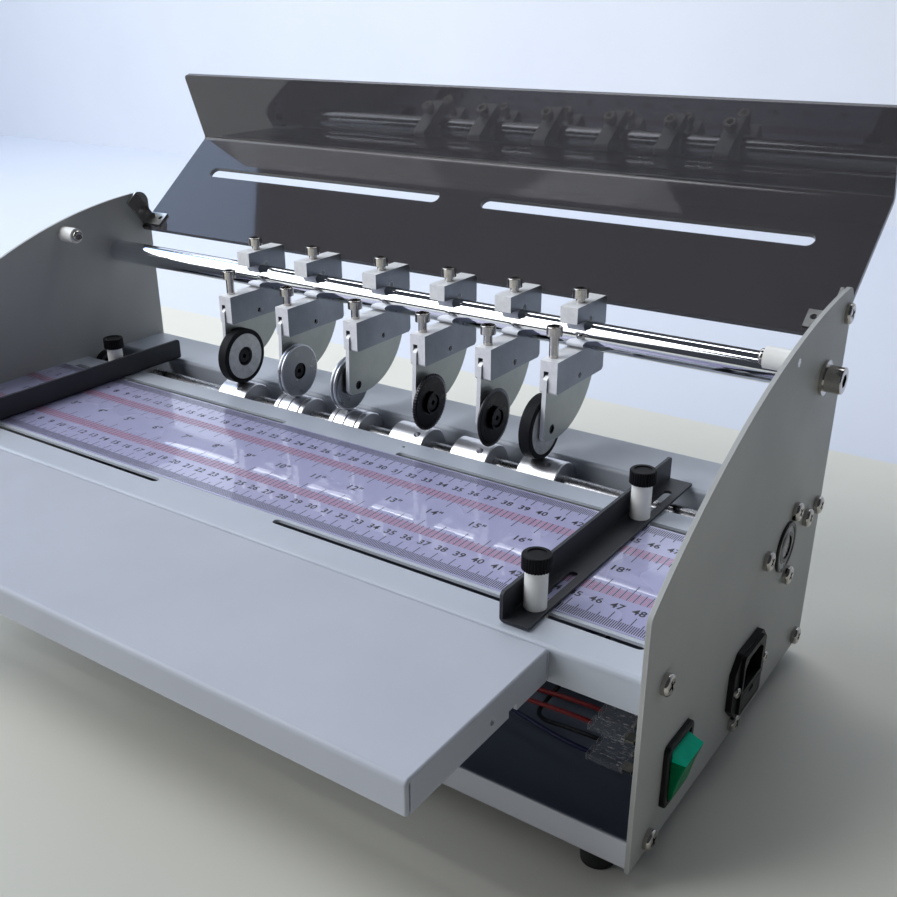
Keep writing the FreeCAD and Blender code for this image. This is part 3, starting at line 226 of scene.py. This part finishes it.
def metal(name, colour, dark, rough, lines=900.0, mottle=60.0, depth=0.01 * MM, amount=0.6,
          edge=0.5 * MM, shaded_below=None):
    """Bare metal with a fine grain, mottled tone and brighter rubbed edges.

    The last argument is a height below which the metal is painted black, as painted shade of the holes the
    pins sit in."""
    bare = Finish(name, Metallic=1.0)
    grain = bare.noise(lines, 3, 0.6)
    patches = bare.noise(mottle, 5, 0.65)
    tone = bare.blend(bare.between(patches, 0.0, amount, 0.35, 0.68), colour, dark)
    tone = bare.blend(bare.between(grain, 0.0, 0.35), tone, dark)
    tone = bare.blend(bare.rubbed(edge, 0.5), tone, linear(238, 240, 244))
    if shaded_below is not None:
        # painted shade: the pins below this height are painted black for the dark holes they sit in
        tone = bare.blend(bare.within(bare.along("Z"), shaded_below, FADE), tone, linear(10, 10, 11))
    bare.bump(grain, depth)
    rate = bare.math("ADD", bare.between(patches, rough[0], rough[1]), bare.between(grain, -0.05, 0.05))
    return bare.done(tone, rate)


def plastic(name, colour, lighter, rough, grain=3000.0, depth=0.02 * MM, **sockets):
    """Moulded plastic or rubber: fine grain, scuffs, and edges a little paler."""
    moulded = Finish(name, Metallic=0.0, **sockets)
    dust = moulded.noise(90, 5, 0.6)
    tone = moulded.blend(moulded.between(dust, 0.0, 0.35, 0.5, 0.8), colour, lighter)
    tone = moulded.blend(moulded.rubbed(0.6 * MM, 0.5), tone, lighter)
    moulded.bump(moulded.noise(grain, 2), depth)
    return moulded.done(tone, moulded.between(dust, rough[0], rough[1], 0.35, 0.75))


def milled(name, flank, flank_dark, painted_lit_tone, flank_metallic, rough, axle=None):
    """Flat stock: satin flanks on the faces that look along X, and on the other faces a brighter tone
    painted as the light falling on them; axle is the centre of a black screw, whose tip is painted dark as
    the shade of the hole it sits in.
    """
    bare = Finish(name)
    sides = bare.sides()
    patches = bare.noise(30, 5, 0.6)
    grain = bare.noise(1.0, 3, 0.6, bare.stretched((260, 900, 260)))
    tone = bare.blend(bare.between(patches, 0.0, 0.6, 0.35, 0.68), flank, flank_dark)
    tone = bare.blend(bare.between(grain, 0.0, 0.25), tone, flank_dark)
    # painted light: the faces that do not look along X take the brighter tone, as if lit
    tone = bare.blend(sides, bare.blend(bare.between(grain, 0.0, 0.2), painted_lit_tone, flank), tone)
    tone = bare.blend(bare.rubbed(0.5 * MM, 0.5), tone, linear(246, 247, 250))
    if axle is not None:
        reach = bare.radius(axle)
        off = bare.math("ABSOLUTE", bare.math("SUBTRACT", bare.along("X"), axle[0]))
        head = bare.math("MULTIPLY", bare.beyond(off, ARM_HALF), bare.within(reach, AXLE_HEAD))
        # the head beyond the arm's middle is the screw's own black; the small disc round the axle is
        # painted shade of the hole its tip sits in
        screw = bare.math("MAXIMUM", head, bare.within(reach, AXLE_HOLE_SHADE))
        tone = bare.blend(screw, tone, linear(28, 28, 30))
    bare.bump(grain, 0.003 * MM)
    return bare.done(tone, bare.between(patches, rough[0], rough[1]),
                     bare.between(sides, 0.1, flank_metallic, 0, 1))


# ---------------------------------------------------------------- finishes
def printed_film():
    """White film with a lilac cast under a clear gloss."""
    film = Finish("scale_film", Metallic=0.0, Coat_Weight=1.0, Coat_Roughness=0.02)
    cast = film.noise(9, 3)
    tone = film.blend(film.between(cast, 0.0, 1.0, 0.35, 0.65),
                      linear(180, 178, 212), linear(170, 170, 206))
    fibre = film.noise(700, 3, 0.6)
    tone = film.blend(film.between(fibre, 0.0, 0.10), tone, linear(150, 148, 175))
    film.bump(film.noise(60, 2), 0.2 * MM)
    return film.done(tone, film.between(cast, 0.22, 0.32))


def smoked_acrylic():
    """Nearly opaque brown-grey sheet with polished faces and faint dust."""
    sheet = Finish("smoked_acrylic", Metallic=0.0, Alpha=0.80, IOR=1.49)
    dust = sheet.noise(240, 6, 0.7)
    haze = sheet.noise(14, 3)
    tone = sheet.blend(sheet.between(haze, 0.0, 1.0, 0.3, 0.7), linear(48, 38, 36), linear(40, 32, 31))
    tone = sheet.blend(sheet.between(dust, 0.0, 0.03, 0.62, 0.8), tone, linear(150, 142, 136))
    return sheet.done(tone, sheet.between(dust, 0.03, 0.07, 0.5, 0.8))


def turned_steel():
    """Bright turned rollers: fine rings round the X axis."""
    steel = Finish("roller_steel", Metallic=1.0)
    rings = steel.noise(1.0, 3, 0.6, steel.stretched((3600, 6, 6)))
    patches = steel.noise(45, 4)
    tone = steel.blend(steel.between(rings, 0.0, 0.25), linear(226, 226, 230), linear(180, 180, 186))
    tone = steel.blend(steel.between(patches, 0.0, 0.10, 0.45, 0.7), tone, linear(130, 128, 130))
    steel.bump(rings, 0.003 * MM)
    return steel.done(tone, steel.between(rings, 0.30, 0.38))


def plated_bar():
    """Hard chrome: nearly a mirror, with faint wiped streaks along the bar."""
    chrome = Finish("bar_chrome", Metallic=1.0)
    wipe = chrome.noise(1.0, 4, 0.6, chrome.stretched((12, 900, 900)))
    tone = chrome.blend(chrome.between(wipe, 0.0, 0.5), linear(236, 238, 242), linear(214, 218, 228))
    return chrome.done(tone, chrome.between(wipe, 0.04, 0.09))


def middle_of(node):
    """The middle of a node's box."""
    low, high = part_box(node)
    return tuple((low + high) / 2)


def wheel_tyre(name, node):
    """A feed wheel: black tyre outside a pale turned disc, with a dark hub."""
    wheel = Finish(name, Metallic=0.0, Specular_IOR_Level=0.2)
    reach = wheel.radius(middle_of(node))
    disc = wheel.within(reach, TYRE_INNER - 0.1 * MM, 0.2 * MM)
    hub = wheel.within(reach, HUB - 0.1 * MM, 0.2 * MM)
    dust = wheel.noise(260, 5, 0.65)
    rubber = wheel.blend(wheel.between(dust, 0.0, 0.5, 0.45, 0.8), linear(14, 14, 17), linear(38, 38, 44))
    zinc = wheel.blend(wheel.between(dust, 0.0, 0.7), linear(212, 212, 212), linear(172, 172, 174))
    dark = wheel.blend(wheel.between(dust, 0.0, 0.6), linear(42, 38, 40), linear(74, 70, 72))
    tone = wheel.blend(hub, wheel.blend(disc, rubber, zinc), dark)
    wheel.bump(wheel.noise(2600, 2), 0.02 * MM)
    rate = wheel.between(disc, 0.62, 0.42, 0, 1)
    return wheel.done(tone, rate, wheel.math("MULTIPLY", disc, 0.55))


def ringed_wheel(name, node, tint, bright, rim_at):
    """A hardened wheel: faces with turned rings and a brighter working rim."""
    rings_per_metre = 5200.0
    wheel = Finish(name, Metallic=1.0)
    reach = wheel.radius(middle_of(node))
    rings = wheel.add("ShaderNodeTexNoise", Scale=1.0, Detail=3.0)
    rings.noise_dimensions = "1D"
    wheel.links.new(wheel.math("MULTIPLY", reach, rings_per_metre), rings.inputs["W"])
    rim = wheel.beyond(reach, rim_at - 0.3 * MM, 0.6 * MM)
    tone = wheel.blend(wheel.between(rings.outputs["Fac"], 0.0, 0.35), tint, linear(20, 20, 22))
    tone = wheel.blend(wheel.math("MULTIPLY", rim, 0.85), tone, bright)
    tone = wheel.blend(wheel.rubbed(0.4 * MM, 0.7), tone, bright)
    wheel.bump(rings.outputs["Fac"], 0.01 * MM)
    return wheel.done(tone, wheel.between(wheel.noise(120, 4), 0.24, 0.4))


def tabbed(name, tin_end):
    """Black moulding with tabs on its inner side, which are tinned up to tin_end, a place in X."""
    case = Finish(name, Specular_IOR_Level=0.3)
    dust = case.noise(90, 5, 0.6)
    tab = case.within(case.along("X"), tin_end, FADE)
    tone = case.blend(case.between(dust, 0.0, 0.35, 0.5, 0.8), linear(12, 12, 14), linear(36, 36, 40))
    tone = case.blend(case.rubbed(0.6 * MM, 0.4), tone, linear(40, 40, 44))
    tin = case.blend(case.between(dust, 0.0, 0.5), linear(246, 240, 222), linear(206, 200, 184))
    case.bump(case.noise(3000, 2), 0.02 * MM)
    return case.done(case.blend(tab, tone, tin), case.between(tab, 0.46, 0.2, 0, 1), tab)


def bearing_rings():
    """The shaft's flanged bearings: dark outer ring, grey face, dark groove round the bore."""
    steel = Finish("bearing_rings", Metallic=0.8)
    reach = steel.radius((0.0, SHAFT_Y, SHAFT_Z))
    mottle = steel.noise(220, 4)
    grey = steel.blend(steel.between(mottle, 0.0, 0.6), linear(150, 150, 152), linear(112, 112, 114))
    tone = steel.blend(steel.beyond(reach, BEARING_OUTER, 0.3 * MM), grey, linear(58, 58, 60))
    tone = steel.blend(steel.within(reach, BEARING_GROOVE, 0.3 * MM), tone, linear(46, 46, 48))
    return steel.done(tone, steel.between(mottle, 0.26, 0.4))


def clear_tube():
    """Soft clear sleeving: nearly invisible, with streaks and rims made white and opaque as painted glints.
    """
    tube = Finish("clear_sleeve", Metallic=0.0, IOR=1.5, Coat_Weight=1.0, Coat_Roughness=0.03)
    cloud = tube.noise(420, 3)
    glint_streaks = tube.noise(1.0, 4, 0.6, tube.stretched((260, 900, 900)))
    # painted highlight: opaque white streaks and rims stand in for glints on the clear sleeve
    pale = tube.math("MAXIMUM", tube.between(glint_streaks, 0.1, 0.85, 0.6, 0.65), tube.edges(0.5 * MM))
    tube.feed(tube.shader.inputs["Alpha"], pale)
    tone = tube.blend(tube.between(cloud, 0.0, 1.0), linear(255, 255, 255), linear(235, 235, 245))
    tube.bump(cloud, 0.6 * MM)
    return tube.done(tone, tube.between(cloud, 0.05, 0.15))


def rocker_green():
    """Green plastic, painted as lit on the rocker's upper end face and painted as in shade, deep green,
    below it.
    """
    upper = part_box("power_rocker")[1].z - ROCKER_END
    cap = Finish("green_plastic", Metallic=0.0, Specular_IOR_Level=0.06)
    depth = cap.noise(150, 3)
    lit = cap.blend(cap.between(depth, 0.0, 1.0), linear(0, 238, 190), linear(0, 222, 176))
    shade = cap.blend(cap.between(depth, 0.0, 1.0), linear(0, 134, 84), linear(0, 116, 74))
    # painted light: the upper end face takes the lit green, the rest the painted shade green
    tone = cap.blend(cap.beyond(cap.along("Z"), upper, 0.2 * MM), shade, lit)
    tone = cap.blend(cap.rubbed(0.8 * MM, 0.25), tone, linear(70, 190, 150))
    cap.bump(cap.noise(1800, 2), 0.02 * MM)
    return cap.done(tone, cap.between(depth, 0.28, 0.4))


def arm_finish(name, axle):
    """An arm round its black axle screw, whose centre is axle."""
    # the last, near-white colour is painted light on the arm's faces that do not look along X
    return milled(name, linear(180, 184, 178), linear(156, 160, 156), linear(246, 247, 248),
                  0.6, (0.34, 0.42), axle)


def screw_finish(name, shaded_below=None):
    """Bright screws; pins below the given height are painted black, as painted shade of their holes."""
    return metal(name, linear(206, 201, 196), linear(150, 145, 140), (0.08, 0.15), mottle=300, amount=0.3,
                 edge=0.3 * MM, shaded_below=shaded_below)


# By slot
FINISHES = {
    "plate_paint": powder("plate_paint", linear(178, 179, 176), linear(216, 218, 222)),
    # the pan's inside, behind its front lip, is painted darker as painted shade
    "pan_paint": powder("pan_paint", linear(216, 218, 226), linear(228, 230, 238), shaded_behind=PAN_LIP_BACK),
    "deck_steel": powder("deck_steel", linear(184, 190, 200), linear(226, 230, 238), 1800.0, 0.01 * MM,
                         (0.34, 0.46)),
    "scale_film": printed_film(),
    "tray_paint": powder("tray_paint", linear(182, 186, 196), linear(216, 220, 228), 2400.0, 0.05 * MM,
                         (0.44, 0.56)),
    "foot_rubber": plastic("foot_rubber", linear(22, 22, 23), linear(58, 58, 60), (0.6, 0.8)),
    "screw_steel": screw_finish("screw_steel"),
    "bar_chrome": plated_bar(),
    "motor_case": powder("motor_case", linear(70, 72, 76), linear(120, 122, 128)),
    "zinc_sheet": metal("zinc_sheet", linear(206, 206, 204), linear(160, 160, 158), (0.28, 0.42),
                        mottle=140, lines=300.0, amount=0.4),
    "wire_sleeve": plastic("wire_sleeve", linear(112, 16, 20), linear(150, 60, 60), (0.35, 0.5)),
    "clear_sleeve": clear_tube(),
    "smoked_acrylic": smoked_acrylic(),
    "roller_steel": turned_steel(),
    "gear_steel": metal("gear_steel", linear(124, 124, 126), linear(76, 74, 72), (0.26, 0.40), mottle=200,
                        depth=0.002 * MM),
    "green_plastic": rocker_green(),
    "guide_paint": powder("guide_paint", linear(38, 40, 46), linear(100, 104, 110), 2200.0, 0.01 * MM,
                          (0.42, 0.54)),
    "white_nylon": plastic("white_nylon", linear(246, 245, 240), linear(228, 225, 216), (0.35, 0.5), 900.0,
                           0.01 * MM),
    "knob_black": plastic("knob_black", linear(10, 9, 12), linear(26, 25, 30), (0.42, 0.6),
                          Specular_IOR_Level=0.15),
    # the white colour is painted light on the block's faces that do not look along X
    "block_zinc": milled("block_zinc", linear(148, 153, 160), linear(118, 123, 131),
                         linear(255, 255, 255), 0.7, (0.36, 0.46)),
}
# By node, ahead of the slot's finish
OWN = {
    "switch_housing": tabbed("switch_case", SWITCH_TIN),
    "power_inlet": tabbed("inlet_case", INLET_TIN),
    "drive_shaft": metal("shaft_steel", linear(150, 150, 152), linear(104, 104, 106), (0.22, 0.34),
                         mottle=90, depth=0.002 * MM),
    "shaft_bearings": bearing_rings(),
    "left_feed_wheel": wheel_tyre("left_tyre", "left_feed_wheel"),
    "right_feed_wheel": wheel_tyre("right_tyre", "right_feed_wheel"),
}
PALE_STEEL = (linear(150, 152, 156), linear(196, 198, 204), CREASE_RIM)
WHEEL_TONES = {
    "left_crease": PALE_STEEL,
    "right_crease": PALE_STEEL,
    "perforating": (linear(44, 42, 44), linear(76, 74, 78), BLADE_RIM),
    "slitting": (linear(40, 40, 42), linear(86, 84, 88), BLADE_RIM),
}
for holder, tones in WHEEL_TONES.items():
    OWN[holder + "_wheel"] = ringed_wheel(holder + "_steel", holder + "_wheel", *tones)
for holder in ("left_feed", "left_crease", "right_crease", "perforating", "slitting", "right_feed"):
    across = middle_of(holder + "_block")[0] + ARM_FROM_BLOCK
    height = FEED_WHEEL_Z if "feed" in holder else WHEEL_Z
    OWN[holder + "_arm"] = arm_finish(holder + "_arm_steel", (across, SHAFT_Y, height))
    # below PIN_TOP the pins are painted black as painted shade of their holes
    OWN[holder + "_screws"] = screw_finish(holder + "_screw_steel", PIN_TOP)

# Each CAD node takes its own finish, or else its slot's
for name, piece in NODES.items():
    for spot in piece.material_slots:
        spot.material = OWN.get(name) or FINISHES[spot.material.name.split(".")[0]]


# ---------------------------------------------------------------- making pieces
def mesh_piece(name, mesh, finish, body):
    """A mesh as a piece that rides on a body and takes a slot's finish."""
    piece = bpy.data.objects.new(name, mesh)
    bpy.context.scene.collection.objects.link(piece)
    mesh.materials.clear()
    mesh.materials.append(finish)
    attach(piece, body)


def from_bmesh(name, work):
    """A mesh from finished work, which is freed."""
    mesh = bpy.data.meshes.new(name)
    bmesh.ops.recalc_face_normals(work, faces=work.faces)
    work.to_mesh(mesh)
    work.free()
    return mesh


def bar(work, low, high):
    """A closed box from corner to corner."""
    middle = [(a + b) / 2 for a, b in zip(low, high)]
    spread = [b - a for a, b in zip(low, high)]
    matrix = Matrix.Translation(middle) @ Matrix.Diagonal((*spread, 1.0))
    bmesh.ops.create_cube(work, size=1.0, matrix=matrix)


# ---------------------------------------------------------------- printed scale
FILM_LOW, FILM_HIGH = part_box("ruler_scale")
FILM_TOP = FILM_HIGH.z
INCH = 25.4 * MM
INK = 0.02 * MM                 # how far the print stands over the film
ZERO = -252.66 * MM             # the numbers' zero, in X
TICK_ZERO = ZERO + 1.0 * MM     # the ticks' zero, in X
ROWS = {"front": -47.0 * MM, "inch": -17.8 * MM, "back": 11.5 * MM}     # the rows of numbers, in Y
FILM_MARGIN = 1.0 * MM          # from the film's edge to the marks
FRONT_ROW_GAP, BACK_ROW_GAP = 6.2 * MM, 7.2 * MM        # from a row of numbers to the inch marks
MM_LINE, INCH_LINE, FINE_LINE = 0.46 * MM, 0.42 * MM, 0.30 * MM         # widths of the marks
MM_MARKS, CM_NUMBERS, INCH_NUMBERS = range(5, 490), range(1, 49), range(1, 19)
INCH_PARTS = 32
LAST_INCH = 19
FIGURE, INCH_FIGURE = 4.8 * MM, 5.3 * MM        # heights of the numbers
FONT_SIZE = 1.25                # type size over the height of a figure


def tick(work, x, start, end, width):
    """One printed line along Y, between two places in any order."""
    low, high = min(start, end), max(start, end)
    bar(work, (x - width / 2, low, FILM_TOP - INK), (x + width / 2, high, FILM_TOP + INK))


def scale_ticks():
    """Millimetre marks along both long edges, and inch marks on both sides of the middle row."""
    black, red = bmesh.new(), bmesh.new()
    for step in MM_MARKS:
        x = TICK_ZERO + step * MM
        reach = (13.0 if step % 10 == 0 else 9.5 if step % 5 == 0 else 7.0) * MM
        tick(black, x, FILM_LOW.y + FILM_MARGIN, FILM_LOW.y + reach, MM_LINE)
        tick(black, x, FILM_HIGH.y - FILM_MARGIN, FILM_HIGH.y - reach, MM_LINE)
    front, back = ROWS["front"] + FRONT_ROW_GAP, ROWS["back"] - BACK_ROW_GAP
    for step in range(1, LAST_INCH * INCH_PARTS + 1):
        x = TICK_ZERO + step * INCH / INCH_PARTS
        work, width = (black, INCH_LINE) if step % 4 == 0 else (red, FINE_LINE)
        reach = (13.5 if step % 16 == 0 else 8.2 if step % 4 == 0 else 7.2) * MM
        tick(work, x, front, front + reach, width)
        tick(work, x, back, back - reach, width)
    return from_bmesh("scale_marks", black), from_bmesh("scale_fine_marks", red)


def scale_numbers():
    """Centimetre numbers on two rows and inch numbers between them, as one mesh."""
    work = bmesh.new()
    labels = [(str(step), ZERO + step * 10 * MM, ROWS[row], FIGURE)
              for step in CM_NUMBERS for row in ("front", "back")]
    labels += [('%d"' % step, ZERO + step * INCH, ROWS["inch"], INCH_FIGURE) for step in INCH_NUMBERS]
    for text, x, y, tall in labels:
        curve = bpy.data.curves.new("label", "FONT")
        curve.body = text
        curve.size = tall * FONT_SIZE
        curve.space_character = 1.05
        curve.extrude = INK
        curve.offset = 0.14 * MM        # bolder strokes
        curve.resolution_u = 3
        letter = bpy.data.objects.new("label", curve)
        bpy.context.scene.collection.objects.link(letter)
        bpy.context.view_layer.update()
        mesh = bpy.data.meshes.new_from_object(letter.evaluated_get(bpy.context.evaluated_depsgraph_get()))
        sides = [[vertex.co[axis] for vertex in mesh.vertices] for axis in (0, 1)]
        across, up = ((min(side) + max(side)) / 2 for side in sides)
        mesh.transform(Matrix.Translation((x - across, y - up, FILM_TOP)))
        work.from_mesh(mesh)
        bpy.data.objects.remove(letter)
        bpy.data.curves.remove(curve)
        bpy.data.meshes.remove(mesh)
    return from_bmesh("scale_numbers", work)


def ink(name, colour):
    """Screen-printed ink with slightly uneven cover."""
    layer = Finish(name, Metallic=0.0)
    cover = layer.noise(1400, 4)
    return layer.done(layer.blend(layer.between(cover, 0.0, 0.06), colour, linear(150, 146, 160)),
                      layer.between(cover, 0.3, 0.45))


BLACK_INK = ink("black_ink", linear(12, 10, 18))
RED_INK = ink("red_ink", linear(182, 84, 106))
marks, fine_marks = scale_ticks()
mesh_piece("scale_marks", marks, BLACK_INK, "frame")
mesh_piece("scale_fine_marks", fine_marks, RED_INK, "frame")
mesh_piece("scale_numbers", scale_numbers(), BLACK_INK, "frame")

# ---------------------------------------------------------------- internal wires
WIRE = 1.1 * MM                 # radius
# Each lead's colour and the points of its route, in mm
WIRES = {
    "wire_red_front": ("red", [
        (215.4, -60.5, 48), (201, -60.5, 48), (168, -55, 41), (120, -44, 24), (40, -30, 17),
        (-60, -10, 17), (-118, 22, 20), (-142, 46, 32), (-150, 53, 43), (-161.9, 53, 43)]),
    "wire_red_rear": ("red", [
        (215.4, -50.5, 48), (201, -50.5, 48), (166, -49, 43), (118, -38, 28), (38, -24, 20),
        (-62, -4, 20), (-114, 32, 22), (-138, 54, 36), (-148, 59, 48), (-161.9, 59, 48)]),
    "wire_blue": ("blue", [
        (215.4, -60.5, 32), (202, -60.5, 32), (166, -52, 32), (116, -36, 19), (60, -8, 15),
        (120, 14, 16), (168, 19.1, 34), (190, 19.1, 43.2), (205.9, 19.1, 43.2)]),
    "wire_black": ("black", [
        (215.4, -50.5, 32), (202, -50.5, 32), (178, -44, 24), (172, -20, 18), (174, 8, 22),
        (182, 28, 34), (192, 33.1, 43.2), (205.9, 33.1, 43.2)]),
}
SLEEVES = {
    "red": plastic("red_pvc", linear(140, 18, 24), linear(180, 70, 72), (0.3, 0.45)),
    "blue": plastic("blue_pvc", linear(22, 26, 74), linear(70, 76, 120), (0.3, 0.45)),
    "black": plastic("black_pvc", linear(16, 16, 20), linear(56, 56, 62), (0.35, 0.5)),
}


def curve_length(curve):
    """Length of a curve's centreline."""
    bare = curve.copy()
    bare.bevel_depth = 0.0
    probe = bpy.data.objects.new("probe", bare)
    bpy.context.scene.collection.objects.link(probe)
    bpy.context.view_layer.update()
    path = bpy.data.meshes.new_from_object(probe.evaluated_get(bpy.context.evaluated_depsgraph_get()))
    ends = ([path.vertices[index].co for index in edge.vertices] for edge in path.edges)
    length = sum((a - b).length for a, b in ends)
    bpy.data.objects.remove(probe)
    return length


def wire(name, sleeve, route):
    """A round lead on a smooth line led by its route."""
    curve = bpy.data.curves.new(name, "CURVE")
    curve.dimensions = "3D"
    curve.bevel_depth = WIRE
    curve.bevel_resolution = 4
    curve.resolution_u = 12
    curve.use_fill_caps = True
    line = curve.splines.new("NURBS")
    line.points.add(len(route) - 1)
    for point, place in zip(line.points, route):
        point.co = (*(part * MM for part in place), 1.0)
    line.order_u = 3
    line.use_endpoint_u = True
    piece = bpy.data.objects.new(name, curve)
    bpy.context.scene.collection.objects.link(piece)
    curve.materials.append(SLEEVES[sleeve])
    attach(piece, "frame")
    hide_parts("internal_wires")
    long = curve_length(curve)


for name, (sleeve, route) in WIRES.items():
    wire(name, sleeve, route)


# ---------------------------------------------------------------- floor, light and camera
def plane(name, corners, finish):
    """A flat staged sheet."""
    mesh = bpy.data.meshes.new(name)
    mesh.from_pydata(corners, [], [(0, 1, 2, 3)])
    piece = bpy.data.objects.new(name, mesh)
    bpy.context.scene.collection.objects.link(piece)
    mesh.materials.append(finish)


def pale_paint(name, colour, darker, edge=None):
    """Matt paint with a soft mottle; behind the edge, a place in Y, it is a bluish white."""
    coat = Finish(name, Metallic=0.0)
    cloud = coat.noise(3, 4)
    tone = coat.blend(coat.between(cloud, 0.0, 1.0), colour, darker)
    if edge is not None:
        tone = coat.blend(coat.beyond(coat.along("Y"), edge, 4 * MM), tone, linear(220, 225, 236))
    return coat.done(tone, coat.between(cloud, 0.5, 0.62))


def surroundings():
    """A plain pale bench top and a plain pale wall behind it."""
    top = cad_box[0][2] - 0.2 * MM
    left, right, front, ceiling = -5, 5, -3, 3.2
    bench = pale_paint("bench_top", linear(230, 228, 216), linear(222, 220, 208), BENCH_BACK)
    plane("floor", [(left, front, top), (right, front, top), (right, WALL, top), (left, WALL, top)],
          bench)
    wall = pale_paint("wall_paint", linear(244, 246, 250), linear(238, 241, 247))
    plane("wall", [(left, WALL, top), (right, WALL, top), (right, WALL, ceiling), (left, WALL, ceiling)],
          wall)


def lamp(name, place, target, width, height, watts, colour):
    """A soft panel of light that faces its target."""
    light = bpy.data.lights.new(name, "AREA")
    light.shape = "RECTANGLE"
    light.size, light.size_y = width, height
    light.energy = watts
    light.color = colour
    piece = bpy.data.objects.new(name, light)
    bpy.context.scene.collection.objects.link(piece)
    piece.location = place
    piece.rotation_euler = (Vector(target) - Vector(place)).to_track_quat("-Z", "Y").to_euler()


def daylight():
    """Soft light from the front left and above, a bluish one from the far left, and one on the wall."""
    world = bpy.data.worlds.new("room")
    world.use_nodes = True
    back = world.node_tree.nodes["Background"]
    back.inputs["Color"].default_value = (0.78, 0.84, 1.0, 1.0)
    back.inputs["Strength"].default_value = 0.06
    bpy.context.scene.world = world
    lamp("front", (-1.2, -1.25, 1.1), (0, 0, 0.1), 1.3, 1.5, 15, (0.96, 0.98, 1.0))
    lamp("window", (-1.9, -0.7, 1.3), (0, 0.1, 0.1), 1.2, 1.6, 16, (0.90, 0.95, 1.0))
    lamp("sky", (-3.2, -0.1, 2.0), (0, 0.1, 0), 1.6, 2.0, 26, (0.50, 0.68, 1.0))
    lamp("ceiling", (-1.1, -1.0, 2.3), (0, 0, 0), 1.0, 1.0, 21, (0.94, 0.96, 1.0))
    lamp("wall_wash", (-0.9, 1.0, 1.9), (-0.9, WALL, 1.0), 2.6, 0.3, 16, (0.96, 0.98, 1.0))
    bpy.context.scene.view_settings.view_transform = "Standard"


def photo_camera():
    """The camera, from its place, heading, dip and roll, its focal length and principal point in pixels."""
    place = Vector((375.23, -403.68, 335.42)) * MM
    heading, dip, roll = (math.radians(angle) for angle in (-35.80, 25.03, 0.70))
    focal, centre_x, centre_y = 1058.29, 424.56, 486.02
    ahead = Vector((math.sin(heading) * math.cos(dip), math.cos(heading) * math.cos(dip), -math.sin(dip)))
    right = Vector((math.cos(heading), -math.sin(heading), 0.0))
    down = ahead.cross(right)
    across = math.cos(roll) * right + math.sin(roll) * down
    under = math.cos(roll) * down - math.sin(roll) * right
    data = bpy.data.cameras.new("camera")
    data.sensor_width = 36.0
    data.lens = focal / IMAGE * data.sensor_width
    data.shift_x = (IMAGE / 2 - centre_x) / IMAGE
    data.shift_y = (centre_y - IMAGE / 2) / IMAGE
    data.clip_start, data.clip_end = 0.02, 50.0
    piece = bpy.data.objects.new("camera", data)
    bpy.context.scene.collection.objects.link(piece)
    turn = Matrix((across, -under, -ahead)).transposed()
    piece.matrix_world = Matrix.Translation(place) @ turn.to_4x4()
    bpy.context.scene.camera = piece


surroundings()
daylight()
photo_camera()
